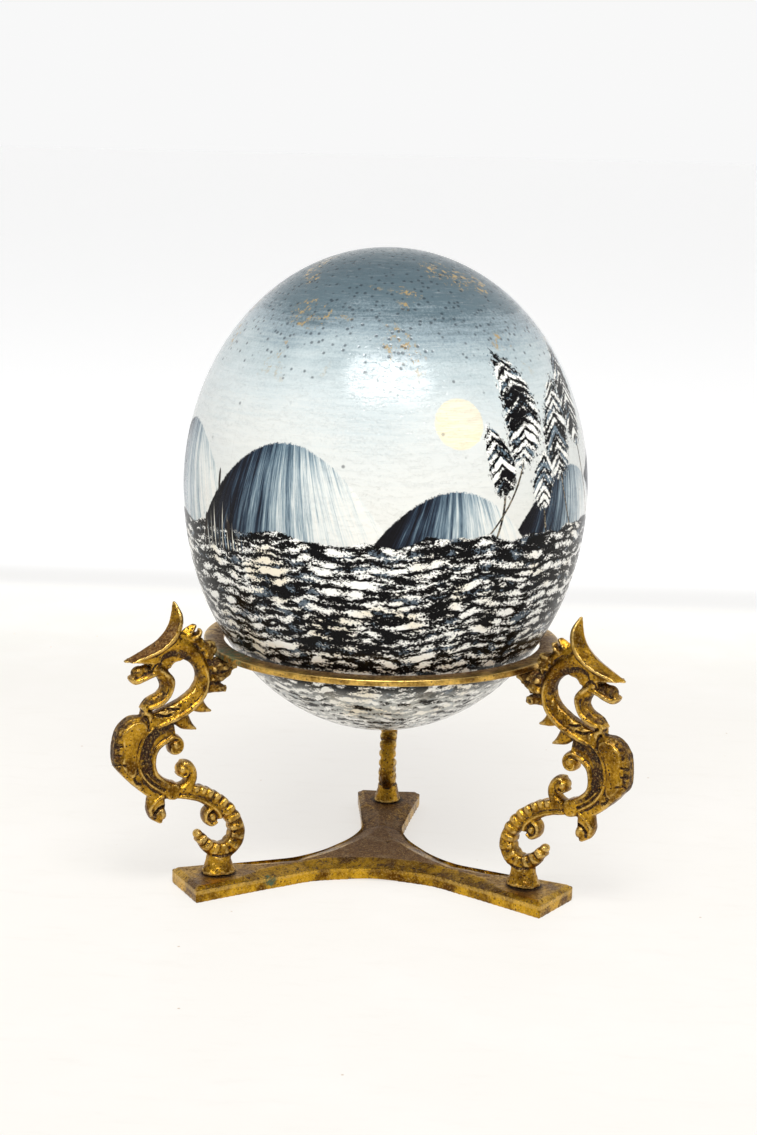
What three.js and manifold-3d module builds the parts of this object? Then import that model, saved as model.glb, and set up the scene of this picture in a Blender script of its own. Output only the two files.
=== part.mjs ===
// A painted ostrich egg standing upright in a cast brass stand: a flat ring carried by three dragons
// on a three-armed base plate. Millimetres, +Z up, origin on the stand's axis at the table.
import * as THREE from "three";
import { mergeVertices } from "three/addons/utils/BufferGeometryUtils.js";
import Module from "manifold-3d";

// Egg
const EGG_GIRTH_SIDE = 124.6;
const EGG_GIRTH_FRONT = 125.6;
const EGG_WIDEST_Z = 122.7;
const EGG_UPPER = 73.4;
const EGG_LOWER = 76.1;
const EGG_ROWS = 18;
const EGG_SEGMENTS = 32;

// Ring
const RING_INNER_R = 49.4;
const RING_OUTER_R = 55.7;
const RING_TOP_Z = 75.1;
const RING_THICK = 2;
const RING_EDGE = 0.4;
const RING_SEGMENTS = 40;

// Base plate
const BASE_THICK = 4.8;
const BASE_BEVEL = 1.3;
const CORNER_ROUND = 2.6;
const SHARP_CORNER_Y = -36;

// Gap that touching solids keep
const GAP = 0.3;

// Legs: directions round the axis, and the radius at which each foot stands
const LEGS = [
  { name: "left", angle: 210, lean: 0 },
  { name: "right", angle: 330, lean: 0.8 },
  { name: "back", angle: 90, lean: 0 },
];
const LEAN_PIVOT = [66, 48];
const FOOT_R = 54.5;

// Fixing screws
const SCREW_HEAD_R = 3.2;
const SCREW_SHANK_R = 1.5;
const SCREW_TOP_Z = 10;
const SCREW_RECESS = 0.3;
const SLOT_WIDTH = 0.8;
const SLOT_DEPTH = 0.6;

const BRASS = { color: 0x9c7a2c, roughness: 0.42, metalness: 0.9 };
const BRASS_DARK = { color: 0x6e5a35, roughness: 0.6, metalness: 0.75 };
const STEEL = { color: 0x8d8b84, roughness: 0.45, metalness: 0.9 };
const LACQUER = { color: 0xa9adb5, roughness: 0.2, metalness: 0 };

const wasm = await Module();
wasm.setup();

// ---------------------------------------------------------------- solids

function toSolid(geometry) {
  const bare = geometry.index ? geometry.clone() : geometry;
  bare.deleteAttribute("normal");
  bare.deleteAttribute("uv");
  const merged = mergeVertices(bare, 1e-4);
  return new wasm.Manifold(
    new wasm.Mesh({
      numProp: 3,
      vertProperties: merged.attributes.position.array,
      triVerts: new Uint32Array(merged.index.array),
    }),
  );
}

function toGeometry(solid) {
  const mesh = solid.getMesh();
  const geometry = new THREE.BufferGeometry();
  geometry.setAttribute("position", new THREE.BufferAttribute(mesh.vertProperties, 3));
  geometry.setIndex(new THREE.BufferAttribute(mesh.triVerts, 1));
  return geometry;
}

function named(name, geometry, look) {
  const shown = geometry.toNonIndexed();
  shown.computeVertexNormals();
  const mesh = new THREE.Mesh(shown, new THREE.MeshStandardMaterial(look));
  mesh.name = name;
  return mesh;
}

// ---------------------------------------------------------------- egg

// Two half ellipses joined at the widest row, turned round the axis and widened a little front to
// back, so that the egg bears on the ring in front and behind.
function eggGeometry() {
  const profile = [];
  for (let i = 0; i <= EGG_ROWS; i++) {
    const a = -Math.PI / 2 + (Math.PI * i) / EGG_ROWS;
    const reach = a < 0 ? EGG_LOWER : EGG_UPPER;
    const radius = i % EGG_ROWS === 0 ? 0 : (EGG_GIRTH_SIDE / 2) * Math.cos(a);
    profile.push(new THREE.Vector2(radius, EGG_WIDEST_Z + reach * Math.sin(a)));
  }
  const egg = new THREE.LatheGeometry(profile, EGG_SEGMENTS).rotateX(Math.PI / 2);
  return egg.scale(1, EGG_GIRTH_FRONT / EGG_GIRTH_SIDE, 1);
}

// ---------------------------------------------------------------- ring

// A closed section turned round the axis, with its two upper edges softened.
function ringGeometry(inner, outer, bottom, top, edge) {
  const profile = [
    [inner, bottom],
    [outer, bottom],
    [outer, top - edge],
    [outer - edge, top],
    [inner + edge, top],
    [inner, top - edge],
    [inner, bottom],
  ].map(([r, z]) => new THREE.Vector2(r, z));
  return new THREE.LatheGeometry(profile, RING_SEGMENTS).rotateX(Math.PI / 2);
}

// ---------------------------------------------------------------- dragon leg

// One bar of the casting. Each point is [radius, height, half width, half thickness] in the leg's
// own upright plane, and the section is a flat-faced bar with chamfered edges.
function strand(points, steps, sides = 6) {
  const path = new THREE.CatmullRomCurve3(points.map(([r, z]) => new THREE.Vector3(r, 0, z)));
  const sizes = new THREE.CatmullRomCurve3(points.map(([, , w, t]) => new THREE.Vector3(w, t, 0)));
  const corner = 1 / Math.cos(Math.PI / sides);
  const bar = new THREE.CylinderGeometry(
    corner, corner, 1, sides, steps, false, Math.PI / sides,
  );
  const position = bar.attributes.position;
  for (let i = 0; i < position.count; i++) {
    const t = THREE.MathUtils.clamp(position.getY(i) + 0.5, 0, 1);
    const centre = path.getPoint(t);
    const along = path.getTangent(t);
    const size = sizes.getPoint(t);
    const across = position.getX(i) * size.x;
    position.setXYZ(
      i,
      centre.x - along.z * across,
      position.getZ(i) * size.y,
      centre.z + along.x * across,
    );
  }
  return bar;
}

// A rounded lump of the casting: a low-sided ball stretched to its three half sizes.
function lump(r, z, halfWidth, halfHeight, halfThick) {
  const ball = new THREE.SphereGeometry(1, 6, 4);
  ball.scale(halfWidth, halfHeight, halfThick).rotateX(Math.PI / 2);
  return ball.translate(r, 0, z);
}

// A flat plate of the casting, cut to an outline in the leg's plane. Its edges are bevelled where a
// bevel is given.
function plate(outline, halfThick, bevel = 0) {
  const shape = new THREE.Shape(outline.map(([r, z]) => new THREE.Vector2(r, z)));
  const slab = new THREE.ExtrudeGeometry(shape, {
    depth: 2 * (halfThick - bevel),
    bevelEnabled: bevel > 0,
    bevelThickness: bevel,
    bevelSize: bevel,
    bevelOffset: -bevel,
    bevelSegments: 1,
    steps: 1,
  });
  return slab.translate(0, 0, bevel - halfThick).rotateX(Math.PI / 2);
}

// The broad blade that runs from the beak's tip, over the brow, to the tip of the horn.
const crest = () => [
  strand([
    [85.4, 74.4, 0.2, 0.4],
    [81.6, 75.2, 0.9, 2.7],
    [77.6, 76.9, 1.2, 3.8],
    [73.8, 78.9, 1.4, 4.2],
    [70.9, 81.6, 1.5, 3.9],
    [69.3, 84.6, 1.5, 3.6],
    [68.9, 87.8, 1.3, 2.8],
    [69.9, 91.8, 0.2, 0.4],
  ], 8),
];

const brow = () => [
  strand([
    [71, 79, 2.6, 3],
    [75, 76.6, 2.9, 3],
    [79, 74.9, 1.7, 2.4],
    [84, 74.2, 0.5, 0.9],
  ], 3),
];

const jaw = () => [
  strand([
    [75.2, 71.6, 1.7, 2.8],
    [78, 70.2, 1.3, 2.8],
    [80.4, 68.9, 1.3, 2.6],
    [82.1, 68.2, 0.9, 2],
  ], 3),
  lump(79.9, 70.6, 2.1, 1.8, 2.2),
];

// The strand that falls from the jaw and closes the loop of the neck.
const throat = () => [
  strand([
    [77, 73.4, 2, 2.8],
    [73.6, 71.8, 2, 2.8],
    [71.5, 69, 1.9, 2.8],
    [71.2, 66, 1.7, 2.8],
    [72.4, 63.4, 1.6, 2.8],
    [74.8, 61.2, 1.8, 2.8],
    [77.6, 59, 2, 2.8],
    [79.4, 56.4, 1.8, 2.8],
  ], 7),
];

// The arched neck, with a thinner web where its loop runs into the back of the head.
const neck = () => [
  strand([
    [76.5, 76.6, 2.2, 3],
    [72, 78, 3, 3],
    [67.4, 77.3, 2.9, 3],
    [63.4, 74.9, 2.6, 2.8],
    [60.9, 71.3, 2.3, 2.7],
    [60.3, 67.3, 2.3, 2.7],
    [62, 63, 2.5, 2.8],
    [65.8, 59.6, 2.8, 3],
    [70.6, 57.2, 2.9, 3],
    [75.6, 55.4, 2.6, 3],
    [80, 53.4, 2, 2.8],
  ], 11),
  plate([[77, 75.6], [70, 77.6], [65.4, 75.8], [67.4, 73.6], [70.2, 72.8], [72, 70.8]], 1.9),
];

// Locks of the mane on the inner side of the neck: a crest of hair and two lumps above the ring, and
// a double bracket that reaches under it.
const mane = () => [
  strand([[69, 81, 1.4, 2], [64, 79.9, 2, 2.2], [60, 76.8, 1.9, 2.3], [57.6, 73, 1.7, 2.3]], 4),
  plate([[67, 80], [64.9, 82.4], [62.4, 84.4], [61.9, 81.8], [63.4, 78.4]], 1.8),
  plate([[61.4, 78.4], [58.4, 79.2], [55, 77.9], [57.8, 75.6], [61, 74.8]], 2),
  strand([[61, 69.4, 4, 2.5], [56.4, 69.6, 3.6, 2.5], [52, 69.7, 2.7, 2.3], [48.9, 69.8, 1.2, 1.6]], 3),
  plate([[61, 66.8], [55.8, 66.2], [52, 63.2], [55.8, 61.8], [61.2, 60.8]], 2.1),
];

// Two fins on the back of the neck, one above the other.
const fins = () => [
  plate([[61.6, 62.4], [59.2, 60], [57.6, 56.8], [61, 58], [64.4, 60.4]], 1.6),
  plate([[65.2, 58], [63.6, 54.8], [62.3, 51.6], [66, 53.2], [69.6, 56]], 1.7),
];

// The shoulder: a thick facet on the outside, and a thinner web between the ridges of the scroll.
const shoulder = () => [
  plate([
    [78.6, 57.4], [83.6, 57.3], [86.7, 55], [88.5, 51.6], [88.8, 43.4], [87.4, 40.9],
    [80.8, 35.2], [80.2, 38.4], [81.4, 43], [80.6, 48.4], [78.2, 52],
  ], 3, 0.8),
  plate([
    [70, 55.2], [79.6, 55.4], [82.2, 49], [83, 42], [83.6, 37.7], [76.4, 31.4],
    [71, 31.4], [70.4, 35], [74, 37.2], [76, 41], [75.4, 46], [72.4, 48.6], [69.4, 47.6],
  ], 2),
];

// The two ridges of the C-shaped scroll, with the small curl that ends the upper one.
const scroll = () => [
  strand([
    [78.4, 52.8, 1, 2.7],
    [81, 48.6, 1, 2.7],
    [81.5, 44, 1, 2.7],
    [80.2, 39.2, 1, 2.7],
    [77.2, 35.4, 1, 2.7],
    [72.4, 32.4, 1, 2.7],
  ], 6),
  strand([
    [69.4, 47.4, 1.4, 2.6],
    [72.4, 48.6, 1.1, 2.6],
    [75.4, 46.9, 0.9, 2.6],
    [76.6, 43, 0.9, 2.6],
    [75.9, 39.2, 0.9, 2.6],
    [73, 36.2, 1, 2.6],
    [69.8, 34.4, 1.2, 2.6],
  ], 6),
  lump(69, 46.8, 2, 1.9, 2.6),
];

const hook = () => [
  strand([
    [69, 33.2, 1.8, 2.8],
    [65.4, 34.3, 1.9, 2.8],
    [64.1, 37.1, 1.8, 2.6],
    [65.6, 39.6, 1.8, 2.5],
  ], 5),
  lump(66.7, 39.7, 2, 1.9, 2.4),
];

// The leaf that hangs under the shoulder.
const pendant = () => [
  strand([
    [75, 33.4, 2.4, 2.3],
    [75.4, 29.6, 3, 2.4],
    [75.1, 26.4, 2.8, 2.2],
    [73.6, 23, 0.3, 0.5],
  ], 4),
];

const tail = () => [
  strand([
    [71.6, 33.4, 2.5, 3],
    [66.2, 32.7, 2.2, 2.8],
    [61, 31.2, 2.3, 2.8],
    [56.2, 28.3, 2.4, 2.8],
    [51.9, 24.3, 2.5, 2.8],
    [49, 19.8, 2.5, 2.8],
    [48.6, 15.6, 2.5, 2.7],
    [51, 12.4, 2.4, 2.6],
    [54.6, 11.6, 2.3, 2.5],
    [57.8, 13.4, 2.2, 2.4],
    [60, 15.8, 1.9, 2.2],
    [61.4, 17.8, 1.1, 1.4],
  ], 12),
];

// The smooth cord along the inside of the tail, ending in a ball that hangs in its loop.
const tailCord = () => [
  strand([
    [68.6, 30.8, 1.1, 2.4],
    [62.6, 29.2, 1.2, 2.4],
    [58.8, 26.6, 1.3, 2.4],
    [56.8, 23, 1.2, 2],
  ], 4),
  lump(56.8, 22.6, 2.1, 2.1, 2.2),
];

const foot = () => [
  strand([
    [FOOT_R, BASE_THICK - 1, 5.4, 4.3],
    [FOOT_R, BASE_THICK + 2.4, 5, 4],
    [FOOT_R, BASE_THICK + 6.2, 3.8, 3.3],
    [FOOT_R, BASE_THICK + 8.6, 2, 1.8],
  ], 2, 8),
];

// One whole casting, tipped outwards by its lean, with a flat foot, a seat cut for the ring and a
// blind hole for its screw.
function legSolid(lean) {
  const [pivotR, pivotZ] = LEAN_PIVOT;
  const pieces = [
    neck, brow, crest, jaw, throat, mane, fins, shoulder, scroll, hook, pendant, tail, tailCord,
    foot,
  ].flatMap((make) => make());
  const casting = pieces
    .map((piece) => piece.translate(-pivotR, 0, -pivotZ).rotateY(THREE.MathUtils.degToRad(lean)))
    .map((piece) => toSolid(piece.translate(pivotR, 0, pivotZ)))
    .reduce((whole, piece) => whole.add(piece));
  const seat = ringGeometry(
    RING_INNER_R - 2, RING_OUTER_R + GAP, RING_TOP_Z - RING_THICK - GAP, RING_TOP_Z + GAP, 0.1,
  );
  const hole = new THREE.CylinderGeometry(
    SCREW_SHANK_R + GAP, SCREW_SHANK_R + GAP, SCREW_TOP_Z + GAP, 8,
  );
  hole.rotateX(Math.PI / 2).translate(FOOT_R, 0, (SCREW_TOP_Z + GAP) / 2);
  const below = new THREE.BoxGeometry(60, 60, 20).translate(FOOT_R, 0, BASE_THICK + GAP - 10);
  return [seat, hole, below].reduce((whole, cutter) => whole.subtract(toSolid(cutter)), casting);
}

// ---------------------------------------------------------------- base plate

// One concave side of the star between two arm ends, from the middle of the side outwards:
// [distance out from the axis, distance along the side].
const SIDE = [
  [15.2, 0],
  [15.7, 9],
  [18.7, 19],
  [24.6, 27.6],
  [31.8, 37.5],
  [42.7, 51.8],
];

// Cuts the corner between two edges with a small arc of three points.
function roundedCorner(before, corner, after) {
  const into = before.clone().sub(corner).setLength(CORNER_ROUND);
  const out = after.clone().sub(corner).setLength(CORNER_ROUND);
  const start = corner.clone().add(into);
  const end = corner.clone().add(out);
  const middle = start.clone().add(end).multiplyScalar(0.5).lerp(corner, 0.4);
  return [start, middle, end];
}

// The star's outline: the three concave sides in turn, joined across the arm ends.
function baseOutline() {
  const side = new THREE.CatmullRomCurve3(
    [...SIDE.slice(1).reverse().map(([d, s]) => [d, -s]), ...SIDE].map(
      ([d, s]) => new THREE.Vector3(d, s, 0),
    ),
  );
  const sides = [30, 150, 270].map((angle) =>
    side.getPoints(10).map((p) =>
      new THREE.Vector2(p.x, p.y).rotateAround(new THREE.Vector2(), THREE.MathUtils.degToRad(angle)),
    ),
  );
  // The corners that face the front are filed sharp, and the others are round.
  const sharp = (corner) => corner.y < SHARP_CORNER_Y;
  const outline = [];
  for (const points of sides) {
    const next = sides[(sides.indexOf(points) + 1) % sides.length];
    const ends = [
      [points.at(-2), points.at(-1), next[0]],
      [points.at(-1), next[0], next[1]],
    ];
    outline.push(...points.slice(1, -1));
    for (const [before, corner, after] of ends) {
      outline.push(...(sharp(corner) ? [corner] : roundedCorner(before, corner, after)));
    }
  }
  return outline;
}

function baseSolid() {
  const star = new THREE.ExtrudeGeometry(new THREE.Shape(baseOutline()), {
    depth: BASE_THICK - BASE_BEVEL,
    bevelThickness: BASE_BEVEL,
    bevelSize: BASE_BEVEL,
    bevelOffset: -BASE_BEVEL,
    bevelSegments: 1,
    steps: 1,
  });
  const aboveTable = new THREE.BoxGeometry(200, 200, BASE_THICK * 2).translate(0, 0, BASE_THICK);
  const flatStar = toSolid(star).intersect(toSolid(aboveTable));
  const hole = screwShape(GAP, BASE_THICK + 1);
  return LEGS.reduce((solid, { angle }) => {
    const turned = hole.clone().rotateZ(THREE.MathUtils.degToRad(angle));
    return solid.subtract(toSolid(turned));
  }, flatStar);
}

// ---------------------------------------------------------------- screws

// A countersunk screw standing head down, grown all round by a clearance.
function screwShape(clearance, top) {
  const head = SCREW_HEAD_R + clearance;
  const shank = SCREW_SHANK_R + clearance;
  const bottom = clearance > 0 ? -1 : SCREW_RECESS;
  const profile = [
    [0, bottom],
    [head, bottom],
    [head, SCREW_RECESS + 0.3],
    [shank, SCREW_RECESS + 0.3 + head - shank],
    [shank, top],
    [0, top],
  ].map(([r, z]) => new THREE.Vector2(r, z));
  return new THREE.LatheGeometry(profile, 12).rotateX(Math.PI / 2).translate(FOOT_R, 0, 0);
}

function screwSolid() {
  const slot = new THREE.BoxGeometry(SCREW_HEAD_R * 3, SLOT_WIDTH, SLOT_DEPTH * 2);
  slot.translate(FOOT_R, 0, SCREW_RECESS);
  return toSolid(screwShape(0, SCREW_TOP_Z)).subtract(toSolid(slot));
}

// ---------------------------------------------------------------- assembly

const model = new THREE.Group();
model.add(named("egg", eggGeometry(), LACQUER));
model.add(
  named(
    "ring",
    ringGeometry(RING_INNER_R, RING_OUTER_R, RING_TOP_Z - RING_THICK, RING_TOP_Z, RING_EDGE),
    BRASS_DARK,
  ),
);
model.add(named("base", toGeometry(baseSolid()), BRASS_DARK));

const screwGeometry = toGeometry(screwSolid());
for (const { name, angle, lean } of LEGS) {
  const turned = new THREE.Group();
  turned.rotation.z = THREE.MathUtils.degToRad(angle);
  turned.add(named("leg_" + name, toGeometry(legSolid(lean)), BRASS));
  turned.add(named("screw_" + name, screwGeometry, STEEL));
  model.add(turned);
}

export default model;
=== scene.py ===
"""A painted ostrich egg standing in a cast brass stand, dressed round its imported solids.

Lengths are millimetres, and MM turns them into metres. Every dragon leg is worked out in its own
upright plane, as [radius from the stand's axis, height], and then turned into place.
"""
import math

import bpy
import numpy as np
from mathutils import Matrix, Vector


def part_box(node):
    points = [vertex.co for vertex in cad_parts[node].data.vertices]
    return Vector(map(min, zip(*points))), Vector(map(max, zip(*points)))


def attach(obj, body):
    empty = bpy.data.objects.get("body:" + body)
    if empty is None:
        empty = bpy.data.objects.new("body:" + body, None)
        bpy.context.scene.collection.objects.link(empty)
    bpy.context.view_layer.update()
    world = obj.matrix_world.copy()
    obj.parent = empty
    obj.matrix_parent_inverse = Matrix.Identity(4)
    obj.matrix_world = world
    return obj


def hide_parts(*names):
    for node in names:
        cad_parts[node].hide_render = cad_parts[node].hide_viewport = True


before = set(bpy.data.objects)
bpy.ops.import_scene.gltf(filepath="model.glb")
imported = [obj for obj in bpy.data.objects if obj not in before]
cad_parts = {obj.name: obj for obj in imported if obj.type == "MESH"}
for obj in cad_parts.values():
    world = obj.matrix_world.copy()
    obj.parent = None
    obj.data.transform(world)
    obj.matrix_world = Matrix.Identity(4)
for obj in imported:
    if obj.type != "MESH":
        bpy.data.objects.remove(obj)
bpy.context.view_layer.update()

scene = bpy.context.scene
MM = 0.001

# ------------------------------------------------------------------ driving sizes, in millimetres

EGG_WIDEST_Z = 122.7
EGG_ROWS = 150
EGG_SEGMENTS = 240

RING_WIDTH = 6.3
RING_EDGE = 0.55
RING_SEGMENTS = 240
RING_GREEN_BEARING = -54

BASE_THICK = 4.8
BASE_VOXEL = 0.42
CORNER_ROUND = 2.6
SHARP_CORNER_Y = -36
ARCH_RISE = 0.6
HUB_R = 26
HUB_RISE = 0.75
GROOVE_R = 26.5
ARM_SLOPE = 1.6
HUB_SLOPE = 6.0
SLOPE_GROWS_R = (54, 38)

# Name, turn round the axis and lean outwards in degrees, and how brown the dragon's crest is.
LEGS = [("left", 210, 0.0, 0.6), ("right", 330, 0.8, 0.05), ("back", 90, 0.0, 0.5)]
LEAN_PIVOT = (66, 48)
LEG_VOXEL = 0.3
FOOT_R = 54.5
JOINT_GAP = 0.15

CAMERA_AZIMUTH = 3.48
CAMERA_ELEVATION = 11.35
CAMERA_ROLL = 1.37
CAMERA_DISTANCE = 680
CAMERA_AIM_Z = 97.13
CAMERA_AIM_LEFT = 1.57
CAMERA_LENS = 69.2

FLOOR_REACH = 60_000
FLOOR_SEAM_Y = 440
UNDERLIT_R = (190, 430)

# Two softboxes that share the key light, by their side and azimuth.
SOFTBOXES = [("left", -9.5), ("right", 18.5)]
SOFTBOX_ELEVATION = 51
SOFTBOX_DISTANCE = 1100
SOFTBOX_SIZE = (520, 460)
SOFTBOX_AIM_Z = 110
KEY_POWER = 11.5

# ------------------------------------------------------------------ shapes


def smooth_curve(points, count):
    """count + 1 points along a centripetal curve through the points, evenly shared between them."""
    p = np.asarray(points, float)
    last = len(p) - 2
    p = np.vstack([2 * p[0] - p[1], p, 2 * p[-1] - p[-2]])
    at = np.linspace(0, last + 1, count + 1)
    i = np.minimum(at.astype(int), last)
    u = (at - i)[:, None]
    p0, p1, p2, p3 = (p[i + k] for k in range(4))

    def knot(a, b):
        span = np.sqrt(np.linalg.norm(b - a, axis=1, keepdims=True))
        return np.where(span < 1e-3, 1, span)

    d0, d1, d2 = knot(p0, p1), knot(p1, p2), knot(p2, p3)
    m1 = ((p1 - p0) / d0 - (p2 - p0) / (d0 + d1)) * d1 + (p2 - p1)
    m2 = ((p3 - p2) / d2 - (p3 - p1) / (d1 + d2)) * d1 + (p2 - p1)
    a = 2 * p1 - 2 * p2 + m1 + m2
    b = 3 * p2 - 3 * p1 - 2 * m1 - m2
    return ((a * u + b) * u + m1) * u + p1


def unit(rows):
    return rows / np.maximum(np.linalg.norm(rows, axis=-1, keepdims=True), 1e-9)


def tube_faces(rings, sides):
    """Quads between neighbouring rings, and one flat face at each end."""
    faces = []
    for i in range(rings - 1):
        for k in range(sides):
            a, b = i * sides + k, i * sides + (k + 1) % sides
            faces.append((a, b, b + sides, a + sides))
    faces.append(tuple(range(sides - 1, -1, -1)))
    faces.append(tuple(range((rings - 1) * sides, rings * sides)))
    return faces


def bar(points, steps, square, sides=20, roof=0.0):
    """A bar of the casting through [radius, height, half width, half thickness].

    A larger square makes its section boxier. A roof raises a ridge along the middle of its inner side.
    """
    points = np.asarray(points, float)
    centre = smooth_curve(points[:, :2], steps)
    size = np.maximum(smooth_curve(points[:, 2:], steps), 0.05)
    along = unit(np.gradient(centre, axis=0))
    across = np.stack([-along[:, 1], along[:, 0]], axis=1)
    turn = np.arange(sides) * 2 * math.pi / sides
    c, s = np.cos(turn), np.sin(turn)
    wide = np.sign(c) * np.abs(c) ** (2 / square)
    thick = np.sign(s) * np.abs(s) ** (2 / square)
    if roof:
        inner = wide < 0
        wide = np.where(inner, wide * (1 - np.abs(thick)) * roof, wide)
    rings = np.empty((steps + 1, sides, 3))
    rings[:, :, 0] = centre[:, :1] + across[:, :1] * size[:, :1] * wide
    rings[:, :, 1] = size[:, 1:] * thick
    rings[:, :, 2] = centre[:, 1:] + across[:, 1:] * size[:, :1] * wide
    return rings.reshape(-1, 3), tube_faces(steps + 1, sides)


def ball(r, z, wide, high, thick, tilt=0.0):
    """A rounded lump of the casting, tilted in the leg's plane."""
    rings, sides = 12, 18
    rows = []
    for i in range(1, rings):
        polar = math.pi * i / rings
        for k in range(sides):
            turn = 2 * math.pi * k / sides
            rows.append((math.sin(polar) * math.cos(turn), math.cos(polar), math.sin(polar) * math.sin(turn)))
    shell = np.array(rows) * (wide, thick, high)
    t = math.radians(tilt)
    x = shell[:, 0] * math.cos(t) - shell[:, 2] * math.sin(t) + r
    upright = shell[:, 0] * math.sin(t) + shell[:, 2] * math.cos(t) + z
    return np.stack([x, shell[:, 1], upright], axis=1), tube_faces(rings - 1, sides)


def slab(outline, half_thick, soft, count=96):
    """A flat plate of the casting with a rounded outline and softened edges."""
    closed = np.asarray(list(outline) + [outline[0]], float)
    edge = smooth_curve(closed, count)[:-1]
    ahead = unit(np.roll(edge, -1, axis=0) - np.roll(edge, 1, axis=0))
    inward = np.stack([-ahead[:, 1], ahead[:, 0]], axis=1)
    area = np.sum(edge[:, 0] * np.roll(edge[:, 1], -1) - np.roll(edge[:, 0], -1) * edge[:, 1])
    inward = inward if area > 0 else -inward
    rows = []
    for inset, y in ((1, half_thick), (0.3, half_thick - 0.3 * soft), (0, half_thick - soft)):
        rows.append((edge + inward * soft * inset, y))
    rows += [(ring, -y) for ring, y in reversed(rows)]
    verts = [np.stack([ring[:, 0], np.full(count, y), ring[:, 1]], axis=1) for ring, y in rows]
    return np.vstack(verts), tube_faces(len(rows), count)


def plain_mesh(name, verts, faces):
    mesh = bpy.data.meshes.new(name)
    mesh.from_pydata([tuple(v) for v in verts], [], faces)
    mesh.update()
    return mesh


def skinned(rough, voxel):
    """One evenly meshed skin over a rough object, which it takes away."""
    remesh = rough.modifiers.new("skin", "REMESH")
    remesh.mode = "VOXEL"
    remesh.voxel_size = voxel
    skin = bpy.data.meshes.new_from_object(rough.evaluated_get(bpy.context.evaluated_depsgraph_get()))
    bpy.data.objects.remove(rough)
    return skin


def fused(name, shells, voxel):
    """Joins overlapping closed shells into one evenly meshed skin."""
    verts, faces, start = [], [], 0
    for shell_verts, shell_faces in shells:
        verts.append(shell_verts)
        faces += [tuple(start + i for i in face) for face in shell_faces]
        start += len(shell_verts)
    rough = bpy.data.objects.new(name, plain_mesh(name, np.vstack(verts), faces))
    scene.collection.objects.link(rough)
    return skinned(rough, voxel)


def read_points(mesh):
    flat = np.empty(len(mesh.vertices) * 3)
    mesh.vertices.foreach_get("co", flat)
    return flat.reshape(-1, 3)


def read_normals(mesh):
    flat = np.empty(len(mesh.vertices) * 3)
    mesh.vertex_normals.foreach_get("vector", flat)
    return flat.reshape(-1, 3)


def write_points(mesh, points):
    mesh.vertices.foreach_set("co", points.ravel())
    mesh.update()


def neighbour_mean(points, edges, count):
    """The mean of each point's neighbours along the mesh's edges."""
    a, b = edges[:, 0], edges[:, 1]
    total = np.stack(
        [
            np.bincount(a, points[b, k], count) + np.bincount(b, points[a, k], count)
            for k in range(points.shape[1])
        ],
        axis=1,
    )
    return total / np.maximum(np.bincount(a, minlength=count) + np.bincount(b, minlength=count), 1)[:, None]


def mesh_edges(mesh):
    flat = np.empty(len(mesh.edges) * 2, int)
    mesh.edges.foreach_get("vertices", flat)
    return flat.reshape(-1, 2)


def soften(points, edges, rounds):
    """Evens the surface out without shrinking it: each round smooths it and then swells it back."""
    for _ in range(rounds):
        for amount in (0.5, -0.52):
            points = points + amount * (neighbour_mean(points, edges, len(points)) - points)
    return points


def grain(points, size, seed):
    """Smooth noise from -1 to 1, with features about size millimetres across."""
    dice = np.random.default_rng(seed).uniform(-1, 1, (32, 32, 32))
    at = points / size
    cell = np.floor(at).astype(int)
    f = at - cell
    f = f * f * (3 - 2 * f)
    total = 0
    for dx in (0, 1):
        for dy in (0, 1):
            for dz in (0, 1):
                weight = 1.0
                for axis, step in enumerate((dx, dy, dz)):
                    weight = weight * (f[:, axis] if step else 1 - f[:, axis])
                i, j, k = ((cell + (dx, dy, dz)) % 32).T
                total = total + weight * dice[i, j, k]
    return total


def ramp_up(value, low, high):
    t = np.clip((value - low) / (high - low), 0, 1)
    return t * t * (3 - 2 * t)


def near_path(plane_points, path, half_width, fade=0.35):
    """1 on a band along a smooth path in the leg's plane, fading to 0 past its half width."""
    line = smooth_curve(path, 10 * len(path))
    nearest = np.full(len(plane_points), 1e9)
    for spot in line:
        nearest = np.minimum(nearest, np.hypot(*(plane_points - spot).T))
    return 1 - ramp_up(nearest, half_width - fade, half_width + fade)


def finish_piece(name, mesh, material, slot, *nodes):
    """Puts a mesh in millimetres on the body as the piece that stands for the given solids."""
    write_points(mesh, read_points(mesh) * MM)
    mesh.polygons.foreach_set("use_smooth", [True] * len(mesh.polygons))
    mesh.materials.clear()
    mesh.materials.append(material)
    piece = bpy.data.objects.new(name, mesh)
    scene.collection.objects.link(piece)
    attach(piece, "root")
    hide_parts(*nodes)


def store(mesh, name, values):
    layer = mesh.attributes.new(name, "FLOAT", "POINT")
    layer.data.foreach_set("value", np.asarray(values, np.float32))


# ------------------------------------------------------------------ shading helpers


def shade(*rgb):
    """A colour written as 0 to 255 display values, in linear light."""
    return tuple((c / 255 / 12.92 if c <= 10 else ((c / 255 + 0.055) / 1.055) ** 2.4) for c in rgb) + (1,)


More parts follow.
